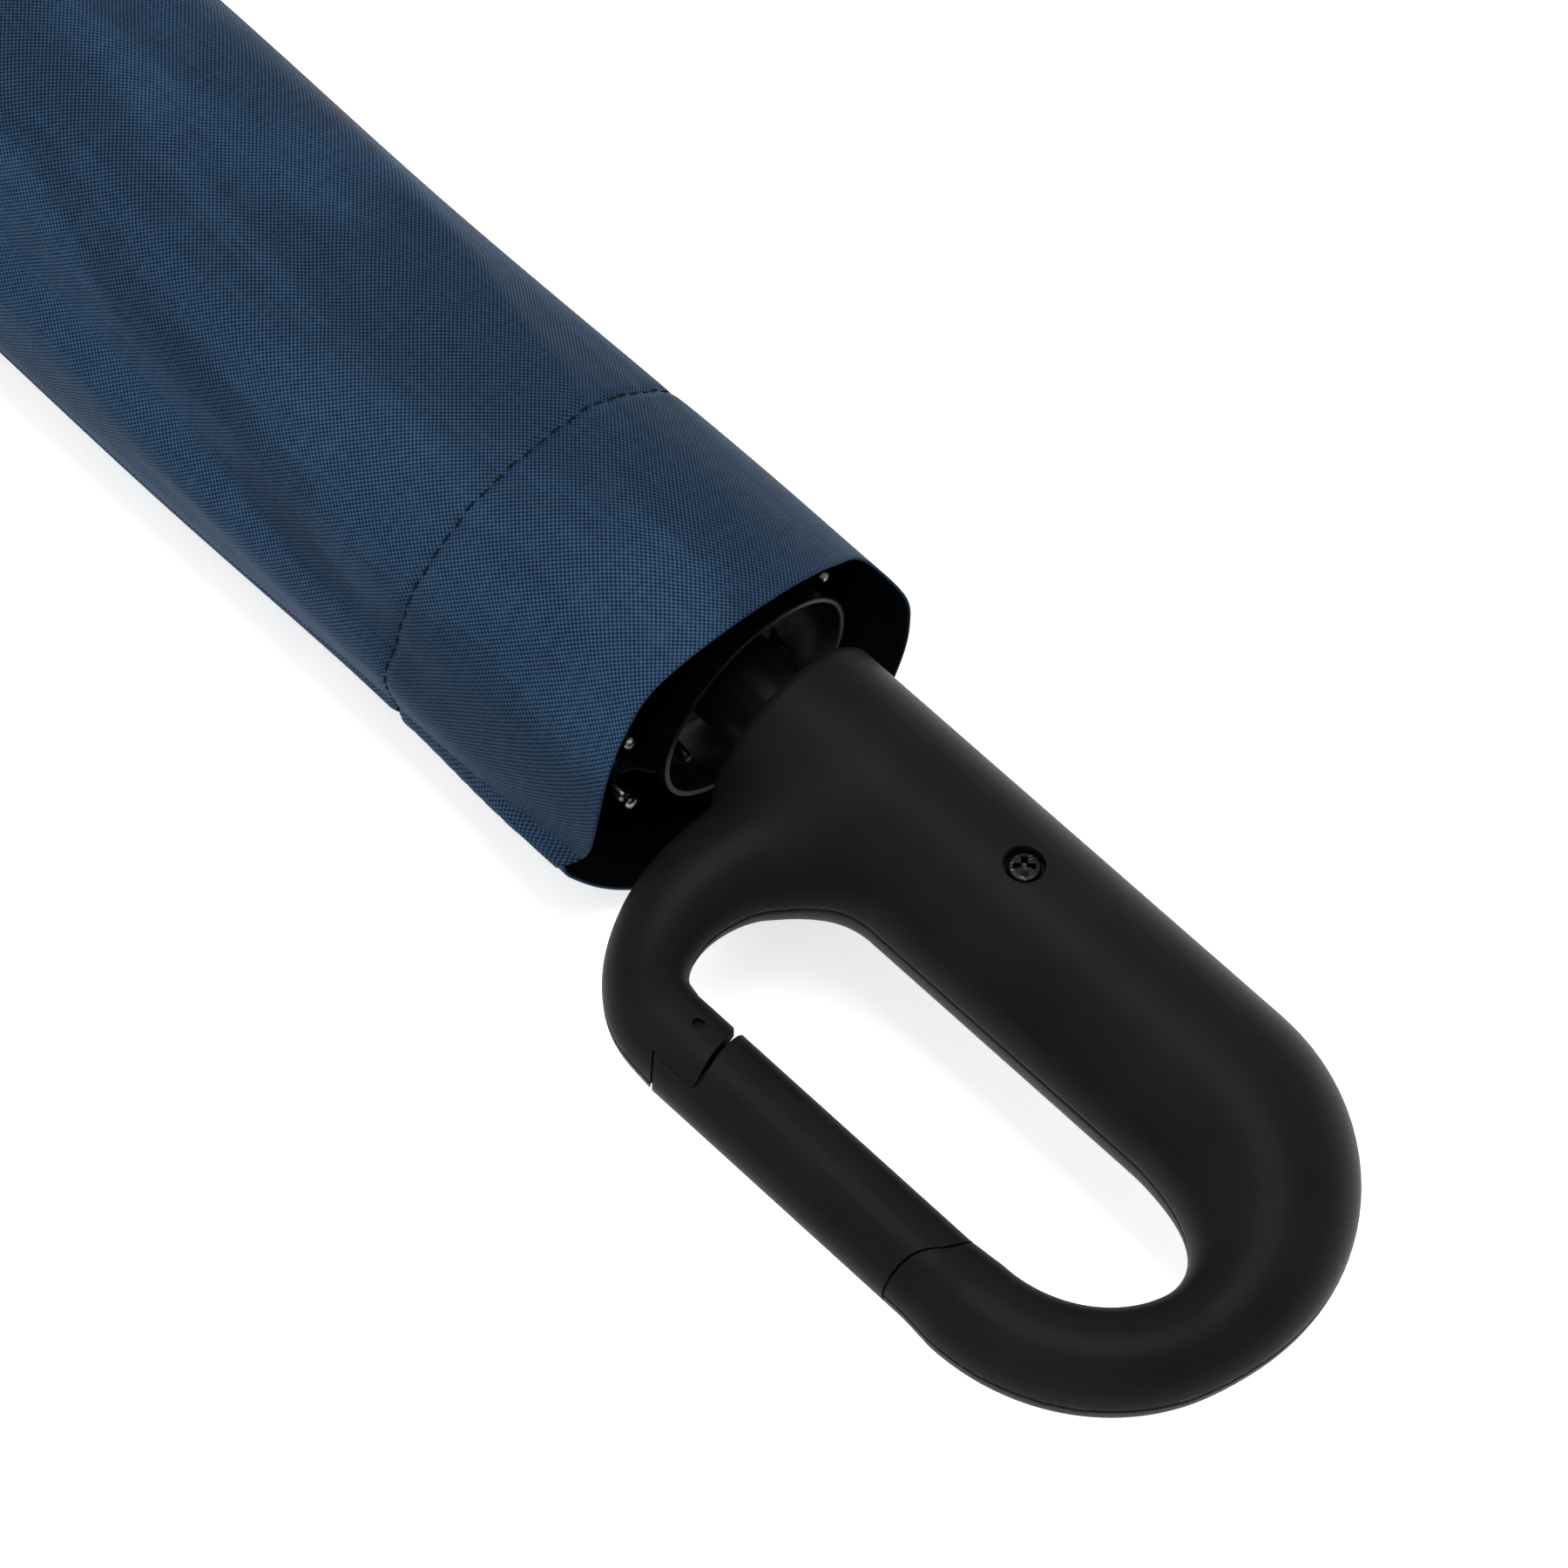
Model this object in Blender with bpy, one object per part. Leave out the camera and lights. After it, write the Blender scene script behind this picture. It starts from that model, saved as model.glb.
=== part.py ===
"""Compact folding umbrella with a carabiner handle, stored in its fabric sleeve.

The umbrella lies on its side on a flat strip of the sleeve. X runs along the shaft towards the
handle, Y points away from the gate of the carabiner loop, and Z is up through the face that
holds the handle's screw. The origin is on the middle of the flat strip. Pieces are drawn about
the shaft's axis, with X = 0 at the top rim of the handle's stem, and the handle_axis empty
puts that point in its place.
"""

from math import cos, pi, radians, sin

import bmesh
import bpy
from mathutils import Matrix, Vector

MM = 0.001
FIT_GAP = 0.3 * MM
STEM_RIM_X = 60 * MM

# Telescopic shaft, from the inside out
INNER_TUBE_RADIUS = 4.7 * MM
TUBE_WALL = 0.6 * MM
OUTER_TUBE_TOP = -196 * MM
MIDDLE_TUBE_TOP = -200 * MM
TUBE_STAGGER = 3 * MM
DRIVE_WIRE_RADIUS = 0.45 * MM
DRIVE_SPRING_TURNS = 18

# Ribs, from the runner out
RIB_COUNT = 8
RIB_PHASE = radians(33.75)
RIB_WIDTH = 1.6 * MM
RIB_WALL = 0.4 * MM
STRETCHER_HEIGHT = 2.0 * MM
STRETCHER_LENGTH = 92 * MM
TOP_RIB_HEIGHT = 2.2 * MM
TOP_RIB_LENGTH = 186 * MM
MIDDLE_RIB_HEIGHT = 1.8 * MM
MIDDLE_RIB_LENGTH = 178 * MM
TIP_WIRE_RADIUS = 0.75 * MM
TIP_RIB_LENGTH = 189 * MM
TIP_CAP_RADIUS = 1.0 * MM
TIP_CAP_LENGTH = 4 * MM
TIP_END = -8.5 * MM

# Runner, notch and top cap
RUNNER_WALL = 1.6 * MM
RUNNER_LENGTH = 20.5 * MM
RUNNER_LIP = -6 * MM
CUP_RADIUS = 14.6 * MM
CUP_WALL = 0.9 * MM
CUP_DEPTH = 7.5 * MM
COLLAR_RECESS = 1.5 * MM
NOTCH_WALL = 2.7 * MM
NOTCH_START = -205 * MM
NOTCH_LENGTH = 12 * MM
NOTCH_SIDE_GAP = 0.4 * MM
CAP_RADIUS = 11 * MM
CAP_LENGTH = 15 * MM
CAP_PEG_LENGTH = 8 * MM

# Furled canopy, its strap and the sleeve
CANOPY_EDGE = -14 * MM
CANOPY_THICKNESS = 1.9 * MM
CANOPY_SHOULDER = 12 * MM
CANOPY_TOP_WALL = 2 * MM
CANOPY_HOLE_RADIUS = 5.3 * MM
STRAP_THICKNESS = 0.4 * MM
STRAP_WIDTH = 18 * MM
STRAP_START = -92 * MM
SNAP_RADIUS = 5 * MM
SNAP_THICKNESS = 1.6 * MM
SLEEVE_SLACK = 5.7 * MM
SLEEVE_CLEARANCE = 0.5 * MM
SLEEVE_WALL = 0.8 * MM
SLEEVE_MOUTH = -7.5 * MM
SLEEVE_END_ROOM = 6 * MM
SLEEVE_END_ROUNDING = 9 * MM
SLEEVE_FLAT_DEPTH = 1.2 * MM

# Handle: stem, end bend and arm around the loop
STEM_RADIUS = 13.3 * MM
STEM_EDGE = 0.9 * MM
STEM_LENGTH = 72 * MM
BEND_DEPTH = 22.8 * MM
BEND_START_ANGLE = radians(5)
BEND_TAPER_ANGLE = radians(100)
BEND_RADIUS = 6.6 * MM
BEND_STEPS = 18
GATE_RADIUS = 6.2 * MM
GATE_OFFSET = 41.7 * MM
SHELL_GAP = 0.3 * MM
SOCKET_WALL = 1.9 * MM
SOCKET_LENGTH = 45 * MM
TUBE_SEAT = 33 * MM

# Gate hinge and nose
PIN_X = 24.4 * MM
PIN_INSET = 1.5 * MM
PIN_RADIUS = 0.75 * MM
PIN_RECESS = 1.0 * MM
GATE_LENGTH = 41 * MM
GATE_GAP = 0.35 * MM
HINGE_GAP = 0.7 * MM
FACE_FOOT = 4.3 * MM
FACE_LOW = -2.2 * MM
FACE_SLOPE = 0.21
HEEL_GAP = 0.25 * MM
CHEEK_RADIUS = 6.2 * MM
HEEL_START_ANGLE = radians(-36)
HEEL_END_ANGLE = radians(-108)
FORK_HALF_GAP = 3.1 * MM
TONGUE_RADIUS = 4.0 * MM
TONGUE_LOW = -2.8 * MM
TONGUE_HIGH = 1.2 * MM
GATE_SPRING_RADIUS = 1.9 * MM
GATE_WIRE_RADIUS = 0.28 * MM

# Handle screw
SCREW_X = 38.7 * MM
SCREW_Y = 1.2 * MM
SCREW_HEAD_RADIUS = 2.0 * MM
SCREW_HEAD_HEIGHT = 1.3 * MM
SCREW_SHANK_RADIUS = 1.4 * MM
SCREW_END_DEPTH = 3 * MM
RECESS_RADIUS = 2.65 * MM
RECESS_DEPTH = 2.4 * MM
CROSS_WIDTH = 0.5 * MM
CROSS_DEPTH = 0.7 * MM

# Push button on the face opposite the screw
BUTTON_X = 18 * MM
BUTTON_LENGTH = 10 * MM
BUTTON_WIDTH = 7 * MM
BUTTON_PROUD = 1.2 * MM
BUTTON_LIP = 1.6 * MM
LATCH_LENGTH = 11.4 * MM
LATCH_WIDTH = 7.8 * MM
LATCH_THICKNESS = 0.8 * MM
BUTTON_WIRE_RADIUS = 0.3 * MM
BUTTON_COIL_RADIUS = 1.6 * MM

# Radii that follow from the stack of fitting pieces
MIDDLE_TUBE_RADIUS = INNER_TUBE_RADIUS + FIT_GAP + TUBE_WALL
OUTER_TUBE_RADIUS = MIDDLE_TUBE_RADIUS + FIT_GAP + TUBE_WALL
RUNNER_BORE = OUTER_TUBE_RADIUS + FIT_GAP
RUNNER_RADIUS = RUNNER_BORE + RUNNER_WALL
STRETCHER_INNER = RUNNER_RADIUS + FIT_GAP
TOP_RIB_INNER = STRETCHER_INNER + STRETCHER_HEIGHT + FIT_GAP
MIDDLE_RIB_INNER = TOP_RIB_INNER + TOP_RIB_HEIGHT + FIT_GAP
TIP_RIB_AXIS = MIDDLE_RIB_INNER + MIDDLE_RIB_HEIGHT + FIT_GAP + TIP_WIRE_RADIUS
CANOPY_INNER = TIP_RIB_AXIS + TIP_WIRE_RADIUS + FIT_GAP
CANOPY_RADIUS = CANOPY_INNER + CANOPY_THICKNESS
STRAP_INNER = CANOPY_RADIUS + FIT_GAP
STRAP_RADIUS = STRAP_INNER + STRAP_THICKNESS
SLEEVE_INNER = STRAP_RADIUS + SLEEVE_CLEARANCE + SLEEVE_SLACK
SLEEVE_RADIUS = SLEEVE_INNER + SLEEVE_WALL
AXIS_HEIGHT = SLEEVE_RADIUS - SLEEVE_FLAT_DEPTH
NOTCH_BORE = INNER_TUBE_RADIUS + FIT_GAP
NOTCH_SLOT_FLOOR = NOTCH_BORE + NOTCH_WALL
NOTCH_RADIUS = NOTCH_SLOT_FLOOR + FIT_GAP + TOP_RIB_HEIGHT
SOCKET_BORE = OUTER_TUBE_RADIUS + FIT_GAP
SOCKET_RADIUS = SOCKET_BORE + SOCKET_WALL
CAVITY_RADIUS = SOCKET_RADIUS + FIT_GAP

# Places along X that follow from the lengths
NOTCH_END = NOTCH_START - NOTCH_LENGTH
CANOPY_TOP_INSIDE = NOTCH_END - 0.8 * MM
CANOPY_TOP = CANOPY_TOP_INSIDE - CANOPY_TOP_WALL
CAP_BASE = CANOPY_TOP - FIT_GAP
CAP_END = CAP_BASE - CAP_LENGTH
SLEEVE_END = CAP_END - SLEEVE_END_ROOM
RUNNER_TOP = RUNNER_LIP - RUNNER_LENGTH

ORIGIN = Vector((0, 0, 0))
X_AXIS = Vector((1, 0, 0))
Z_AXIS = Vector((0, 0, 1))


def clear_scene():
    for old in list(bpy.data.objects):
        bpy.data.objects.remove(old, do_unlink=True)


def material(name, color, roughness, metallic=0.0):
    made = bpy.data.materials.new(name)
    made.use_nodes = True
    shader = made.node_tree.nodes["Principled BSDF"]
    shader.inputs["Base Color"].default_value = (*color, 1.0)
    shader.inputs["Roughness"].default_value = roughness
    shader.inputs["Metallic"].default_value = metallic
    return made


def soft_black():
    return material("soft_touch_black", (0.018, 0.018, 0.020), 0.55)


def nylon_black():
    return material("nylon_black", (0.012, 0.012, 0.013), 0.35)


def navy_cloth():
    return material("navy_cloth", (0.014, 0.037, 0.094), 0.85)


def steel():
    return material("spring_steel", (0.45, 0.45, 0.47), 0.3, 1.0)


def plated_tube():
    return material("plated_tube", (0.62, 0.63, 0.65), 0.22, 1.0)


def empty(name, place=ORIGIN, parent=None):
    made = bpy.data.objects.new(name, None)
    bpy.context.collection.objects.link(made)
    made.location = place
    made.parent = parent
    return made


def solid(name, bm):
    """Turns a bmesh into an object whose faces point outwards."""
    bmesh.ops.remove_doubles(bm, verts=bm.verts, dist=0.002 * MM)
    bmesh.ops.recalc_face_normals(bm, faces=bm.faces)
    mesh = bpy.data.meshes.new(name)
    bm.to_mesh(mesh)
    bm.free()
    made = bpy.data.objects.new(name, mesh)
    bpy.context.collection.objects.link(made)
    return made


def finish(piece, finish_material, parent, origin=ORIGIN):
    """Moves the mesh so that its origin lies on its parent, and gives the piece its material."""
    piece.data.transform(Matrix.Translation(-origin))
    piece.data.materials.clear()
    piece.data.materials.append(finish_material)
    piece.data.shade_smooth()
    piece.data.set_sharp_from_angle(angle=radians(35))
    piece.parent = parent
    return piece


def turned(name, profile, sides=32, closed=True):
    """Solid of revolution about X through (x, radius) corners; closed means it has a bore."""
    bm = bmesh.new()
    verts = [bm.verts.new((x, 0, radius)) for x, radius in profile]
    for start, end in zip(verts, verts[1:]):
        bm.edges.new((start, end))
    if closed:
        bm.edges.new((verts[-1], verts[0]))
    bmesh.ops.spin(bm, geom=bm.verts[:] + bm.edges[:], cent=ORIGIN, axis=X_AXIS,
                   angle=2 * pi, steps=sides, use_merge=True)
    return solid(name, bm)


def prism(name, outline, low, high):
    """Straight solid over a flat outline of (x, y) points, from height low to height high."""
    bm = bmesh.new()
    face = bm.faces.new([bm.verts.new((x, y, low)) for x, y in outline])
    risen = bmesh.ops.extrude_face_region(bm, geom=[face])["geom"]
    bmesh.ops.translate(bm, verts=[v for v in risen if isinstance(v, bmesh.types.BMVert)],
                        vec=(0, 0, high - low))
    return solid(name, bm)


def block(name, x_range, y_range, z_range):
    corners = [(x_range[0], y_range[0]), (x_range[1], y_range[0]),
               (x_range[1], y_range[1]), (x_range[0], y_range[1])]
    return prism(name, corners, *z_range)


def rod(name, start, end, radius, sides=16):
    """Straight round bar between two points."""
    start = Vector(start)
    end = Vector(end)
    bm = bmesh.new()
    turn = Z_AXIS.rotation_difference(end - start).to_matrix().to_4x4()
    place = Matrix.Translation((start + end) / 2) @ turn
    bmesh.ops.create_cone(bm, cap_ends=True, segments=sides, radius1=radius, radius2=radius,
                          depth=(end - start).length, matrix=place)
    return solid(name, bm)


def wire(name, points, radius, resolution=1):
    """Round wire or tapered bar along points that may carry their own radius factor."""
    curve = bpy.data.curves.new(name, "CURVE")
    curve.dimensions = "3D"
    curve.bevel_depth = radius
    curve.bevel_resolution = resolution
    curve.use_fill_caps = True
    spline = curve.splines.new("POLY")
    spline.points.add(len(points) - 1)
    for knot, (place, factor) in zip(spline.points, points):
        knot.co = (*place, 1)
        knot.radius = factor
    holder = bpy.data.objects.new(name, curve)
    bpy.context.collection.objects.link(holder)
    evaluated = holder.evaluated_get(bpy.context.evaluated_depsgraph_get())
    bm = bmesh.new()
    bm.from_mesh(evaluated.to_mesh())
    bpy.data.objects.remove(holder)
    return solid(name, bm)


def combine(target, operation, *tools):
    """Applies exact booleans to the target and removes the tools."""
    for tool in tools:
        modifier = target.modifiers.new(operation.title(), "BOOLEAN")
        modifier.operation = operation
        modifier.solver = "EXACT"
        modifier.object = tool
    graph = bpy.context.evaluated_depsgraph_get()
    shaped = bpy.data.meshes.new_from_object(target.evaluated_get(graph))
    target.modifiers.clear()
    target.data = shaped
    for tool in tools:
        bpy.data.objects.remove(tool)
    return target


def twin(source, name):
    made = source.copy()
    made.data = source.data.copy()
    made.name = name
    bpy.context.collection.objects.link(made)
    return made


def smooth_step(share):
    share = min(max(share, 0.0), 1.0)
    return share * share * (3 - 2 * share)


# Handle ---------------------------------------------------------------------------------------

def arm_stations():
    """Centre line and radius from inside the stem, round the arm, to the gate's hinge."""
    gate_line = -GATE_OFFSET
    corners = [(14 * MM, -2 * MM, 11.2 * MM), (11.6 * MM, -11 * MM, 10.6 * MM),
               (9.6 * MM, gate_line + 23 * MM, 8.9 * MM), (8.6 * MM, gate_line + 17 * MM, 7.2 * MM),
               (9.4 * MM, gate_line + 11 * MM, 5.8 * MM), (11.4 * MM, gate_line + 6.2 * MM, 5.3 * MM),
               (14.4 * MM, gate_line + 2.6 * MM, 5.4 * MM), (18.6 * MM, gate_line + 0.5 * MM, 5.9 * MM),
               (PIN_X, gate_line, GATE_RADIUS)]
    return [((x, y, 0), radius / MM) for x, y, radius in corners]


def bend_stations():
    """Centre line and radius from the nose, round the end bend, to the stem."""
    half_span = GATE_OFFSET / 2
    stations = []
    for step in range(BEND_STEPS, -1, -1):
        angle = pi * step / BEND_STEPS
        taper = smooth_step((angle - BEND_START_ANGLE) / BEND_TAPER_ANGLE)
        place = (STEM_LENGTH + BEND_DEPTH * sin(angle), -half_span * (1 - cos(angle)), 0)
        stations.append((place, (STEM_RADIUS + (BEND_RADIUS - STEM_RADIUS) * taper) / MM))
    return stations


def loop_solid():
    """Outer shape of the whole handle with the gate still part of it."""
    stem_end = STEM_LENGTH - 1 * MM
    stem = turned("loop", [(0, 0), (0, STEM_RADIUS - STEM_EDGE), (STEM_EDGE, STEM_RADIUS),
                           (stem_end, STEM_RADIUS), (stem_end, 0)], sides=40, closed=False)
    nose_start = [((STEM_LENGTH - 5 * MM, -GATE_OFFSET, 0), GATE_RADIUS / MM)]
    inside_stem = [((STEM_LENGTH - 5 * MM, 0, 0), STEM_RADIUS * 0.99 / MM)]
    path = arm_stations() + nose_start + bend_stations() + inside_stem
    return combine(stem, "UNION", wire("bow", path, MM, resolution=8))


def pin_place():
    return Vector((PIN_X, PIN_INSET - GATE_OFFSET, 0))


def heel_line(heel_gap, end_gap, reach):
    """Round line under the gate's heel, from the foot of the hinge face to the outer side."""
    radius = CHEEK_RADIUS + heel_gap
    end_angle = HEEL_END_ANGLE + end_gap / radius
    line = []
    for step in range(7):
        angle = HEEL_START_ANGLE + (end_angle - HEEL_START_ANGLE) * step / 6
        line.append((radius * cos(angle), radius * sin(angle)))
    return line + [(0.6 * MM + end_gap, -reach)]


def cheek_outline(reach):
    """End of the hinge cheeks from the inner side to the outer, chamfered to let the gate turn."""
    line = [(1.6 * MM, reach), (1.6 * MM, 4.9 * MM), (3.2 * MM, 3.0 * MM), (FACE_FOOT, FACE_LOW)]
    return line + heel_line(0, 0, reach)


def gate_outline(reach):
    """End of the gate at the hinge: a straight face that stays clear of the cheeks."""
    foot = FACE_FOOT + HINGE_GAP
    line = [(foot - FACE_SLOPE * (reach - FACE_LOW), reach), (foot, FACE_LOW)]
    return line + heel_line(HEEL_GAP, GATE_GAP, reach)


def nose_outline(setback, reach):
    """Slanted line between gate and nose, as points from the outer to the inner side."""
    end = GATE_LENGTH - setback
    return [(end - 1.4 * MM, -reach), (end - 1.2 * MM, -5.4 * MM), (end - 0.4 * MM, -2.6 * MM),
            (end + 1.2 * MM, -0.4 * MM), (end + 2.2 * MM, 3.4 * MM), (end + 2.2 * MM, reach)]


def gate_prism(name, hinge_end, setback, height):
    """Block over the gate's plan, between a hinge outline and the nose."""
    pin = pin_place()
    reach = GATE_RADIUS + PIN_INSET + 1 * MM
    outline = hinge_end(reach) + nose_outline(setback, reach)
    return prism(name, [(pin.x + x, pin.y + y) for x, y in outline], -height, height)


def make_gate(loop, parent):
    pin = pin_place()
    gate = twin(loop, "gate")
    height = GATE_RADIUS + 1 * MM
    combine(gate, "INTERSECT", gate_prism("plan", gate_outline, GATE_GAP, height))
    web = block("web", (pin.x, pin.x + 9 * MM), (pin.y - 3.6 * MM, pin.y + 2.8 * MM),
                (TONGUE_LOW, TONGUE_HIGH))
    eye = rod("eye", (pin.x, pin.y, TONGUE_LOW), (pin.x, pin.y, TONGUE_HIGH), TONGUE_RADIUS, 24)
    combine(eye, "UNION", web)
    combine(gate, "UNION", eye)
    bore = rod("bore", (pin.x, pin.y, -height), (pin.x, pin.y, height), PIN_RADIUS + FIT_GAP)
    combine(gate, "DIFFERENCE", bore)
    return finish(gate, soft_black(), parent, pin)


def make_handle_shells(loop, parent):
    pin = pin_place()
    height = STEM_RADIUS + 2 * MM
    fork = block("fork", (pin.x - 4.6 * MM, pin.x + 12 * MM),
                 (pin.y - GATE_RADIUS - 3 * MM, pin.y + GATE_RADIUS + 1 * MM),
                 (-FORK_HALF_GAP, FORK_HALF_GAP))
    pin_hole = rod("pin_hole", (pin.x, pin.y, -height), (pin.x, pin.y, height),
                   PIN_RADIUS + FIT_GAP)
    cavity = rod("cavity", (-1 * MM, 0, 0), (SOCKET_LENGTH + FIT_GAP, 0, 0), CAVITY_RADIUS, 32)
    combine(loop, "DIFFERENCE", gate_prism("plan", cheek_outline, 0, height), fork, pin_hole, cavity)

    top = STEM_RADIUS + 1 * MM
    front_half = block("half", (-5 * MM, 130 * MM), (-80 * MM, 40 * MM), (SHELL_GAP / 2, 30 * MM))
    back_half = block("half", (-5 * MM, 130 * MM), (-80 * MM, 40 * MM), (-30 * MM, -SHELL_GAP / 2))
    front = combine(twin(loop, "handle_front_shell"), "INTERSECT", front_half)
    back = combine(twin(loop, "handle_back_shell"), "INTERSECT", back_half)
    bpy.data.objects.remove(loop)

    recess = rod("recess", (SCREW_X, SCREW_Y, STEM_RADIUS - RECESS_DEPTH),
                 (SCREW_X, SCREW_Y, top), RECESS_RADIUS, 24)
    shank = rod("shank", (SCREW_X, SCREW_Y, CAVITY_RADIUS - 2 * MM), (SCREW_X, SCREW_Y, top),
                SCREW_SHANK_RADIUS + FIT_GAP)
    combine(front, "DIFFERENCE", recess, shank)
    pilot = rod("pilot", (SCREW_X, SCREW_Y, -CAVITY_RADIUS - SCREW_END_DEPTH),
                (SCREW_X, SCREW_Y, 0), SCREW_SHANK_RADIUS + FIT_GAP)
    window = block("window", span(BUTTON_X, BUTTON_LENGTH + 2 * FIT_GAP),
                   span(0, BUTTON_WIDTH + 2 * FIT_GAP), (-STEM_RADIUS - 1 * MM, 0))
    pocket = block("pocket", span(BUTTON_X, LATCH_LENGTH + 2 * FIT_GAP),
                   span(0, LATCH_WIDTH + 2 * FIT_GAP), (latch_bottom() - FIT_GAP, -CAVITY_RADIUS / 2))
    combine(back, "DIFFERENCE", pilot, window, pocket)
    finish(front, soft_black(), parent)
    finish(back, soft_black(), parent)


def span(middle, width):
    return (middle - width / 2, middle + width / 2)


def latch_bottom():
    """Underside of the latch plate at rest, just above the lip that keeps the button in."""
    return -STEM_RADIUS + BUTTON_LIP + FIT_GAP


def make_socket(parent):
    """Core of the handle: holds the outer tube, and the screw passes through its solid end."""
    socket = rod("shaft_socket", (0.6 * MM, 0, 0), (SOCKET_LENGTH, 0, 0), SOCKET_RADIUS, 32)
    bore = rod("bore", (-1 * MM, 0, 0), (TUBE_SEAT + FIT_GAP, 0, 0), SOCKET_BORE, 32)
    hole = rod("hole", (SCREW_X, SCREW_Y, -SOCKET_RADIUS - 1 * MM),
               (SCREW_X, SCREW_Y, SOCKET_RADIUS + 1 * MM), SCREW_SHANK_RADIUS + FIT_GAP)
    window = block("window", span(BUTTON_X, LATCH_LENGTH + 2 * FIT_GAP),
                   span(0, LATCH_WIDTH + 2 * FIT_GAP), (-SOCKET_RADIUS - 1 * MM, -SOCKET_BORE / 2))
    combine(socket, "DIFFERENCE", bore, hole, window)
    finish(socket, nylon_black(), parent)


def make_handle_screw(parent):
    seat = STEM_RADIUS - RECESS_DEPTH + FIT_GAP
    top = seat + SCREW_HEAD_HEIGHT
    screw = rod("handle_screw", (SCREW_X, SCREW_Y, seat), (SCREW_X, SCREW_Y, top),
                SCREW_HEAD_RADIUS, 20)
    shank = rod("shank", (SCREW_X, SCREW_Y, -CAVITY_RADIUS - SCREW_END_DEPTH + 2 * FIT_GAP),
                (SCREW_X, SCREW_Y, seat + SCREW_HEAD_HEIGHT / 2), SCREW_SHANK_RADIUS)
    combine(screw, "UNION", shank)
    arm = SCREW_HEAD_RADIUS * 0.62
    depth = (top - CROSS_DEPTH, top + 1 * MM)
    along = block("along", span(SCREW_X, 2 * arm), span(SCREW_Y, CROSS_WIDTH), depth)
    across = block("across", span(SCREW_X, CROSS_WIDTH), span(SCREW_Y, 2 * arm), depth)
    combine(screw, "DIFFERENCE", along, across)
    finish(screw, steel(), parent)


def helix(turns, radius, start, rise, per_turn):
    """Points on a coil about the direction of rise, from its start point."""
    along = rise.normalized()
    across = along.orthogonal().normalized()
    third = along.cross(across)
    count = int(turns * per_turn)
    points = []
    for step in range(count + 1):
        angle = 2 * pi * step / per_turn
        round_part = across * cos(angle) + third * sin(angle)
        points.append((start + rise * (step / count) + round_part * radius, 1.0))
    return points


def make_gate_pin_and_spring(parent):
    pin = pin_place()
    end = GATE_RADIUS - PIN_RECESS
    finish(rod("gate_pin", (pin.x, pin.y, -end), (pin.x, pin.y, end), PIN_RADIUS), steel(), parent)
    low = TONGUE_HIGH + FIT_GAP + GATE_WIRE_RADIUS
    high = FORK_HALF_GAP - FIT_GAP - GATE_WIRE_RADIUS
    start = Vector((pin.x, pin.y, low))
    coil = helix(1.5, GATE_SPRING_RADIUS, start, Vector((0, 0, high - low)), 16)
    finish(wire("gate_spring", coil, GATE_WIRE_RADIUS), steel(), parent)


def make_button(parent):
    latch_low = latch_bottom()
    outer = -STEM_RADIUS - BUTTON_PROUD
    button = block("push_button", span(BUTTON_X, BUTTON_LENGTH), span(0, BUTTON_WIDTH),
                   (outer, latch_low - FIT_GAP))
    corners = button.modifiers.new("Round corners", "BEVEL")
    corners.width = 1.0 * MM
    corners.segments = 2
    combine(button, "UNION")
    finish(button, nylon_black(), parent)
    latch = block("latch_plate", span(BUTTON_X, LATCH_LENGTH), span(0, LATCH_WIDTH),
                  (latch_low, latch_low + LATCH_THICKNESS))
    finish(latch, steel(), parent)


def make_button_spring(parent):
    low = latch_bottom() + LATCH_THICKNESS + FIT_GAP + BUTTON_WIRE_RADIUS
    high = -OUTER_TUBE_RADIUS - FIT_GAP - BUTTON_WIRE_RADIUS
    start = Vector((BUTTON_X, 0, low))
    coil = helix(2, BUTTON_COIL_RADIUS, start, Vector((0, 0, high - low)), 14)
    finish(wire("button_spring", coil, BUTTON_WIRE_RADIUS), steel(), parent)


# Shaft ----------------------------------------------------------------------------------------

def tube(name, start, end, radius, parent):
    bore = radius - TUBE_WALL
    profile = [(start, bore), (start, radius), (end, radius), (end, bore)]
    finish(turned(name, profile), plated_tube(), parent)


def make_drive_spring(parent):
    bore = INNER_TUBE_RADIUS - TUBE_WALL
    start = Vector((TUBE_SEAT - 2 * TUBE_STAGGER, 0, 0))
    end = CAP_BASE + CAP_PEG_LENGTH + FIT_GAP + DRIVE_WIRE_RADIUS
    coil = helix(DRIVE_SPRING_TURNS, bore - FIT_GAP - DRIVE_WIRE_RADIUS, start,
                 Vector((end - start.x, 0, 0)), 12)
    finish(wire("drive_spring", coil, DRIVE_WIRE_RADIUS), steel(), parent)


# Top of the umbrella --------------------------------------------------------------------------

def make_runner(parent):
    """Sliding runner: a sleeve on the outer tube with a flared cup that opens to the handle."""
    floor = RUNNER_LIP - CUP_DEPTH
    inner = CUP_RADIUS - CUP_WALL
    mouth = RUNNER_LIP - COLLAR_RECESS
    profile = [(RUNNER_TOP, RUNNER_BORE), (RUNNER_TOP, RUNNER_RADIUS),
               (floor - 2 * CUP_WALL, RUNNER_RADIUS), (floor, CUP_RADIUS - 2.1 * MM),
               (floor + 3.2 * MM, CUP_RADIUS - 0.5 * MM), (RUNNER_LIP - 0.4 * MM, CUP_RADIUS),
               (RUNNER_LIP, CUP_RADIUS - 0.4 * MM), (RUNNER_LIP, inner),
               (floor + 3.6 * MM, inner - 0.5 * MM), (floor + CUP_WALL, inner - 2.4 * MM),
               (floor, RUNNER_RADIUS), (mouth, RUNNER_RADIUS), (mouth, RUNNER_BORE)]
    finish(turned("runner", profile, sides=40), nylon_black(), parent)


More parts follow.
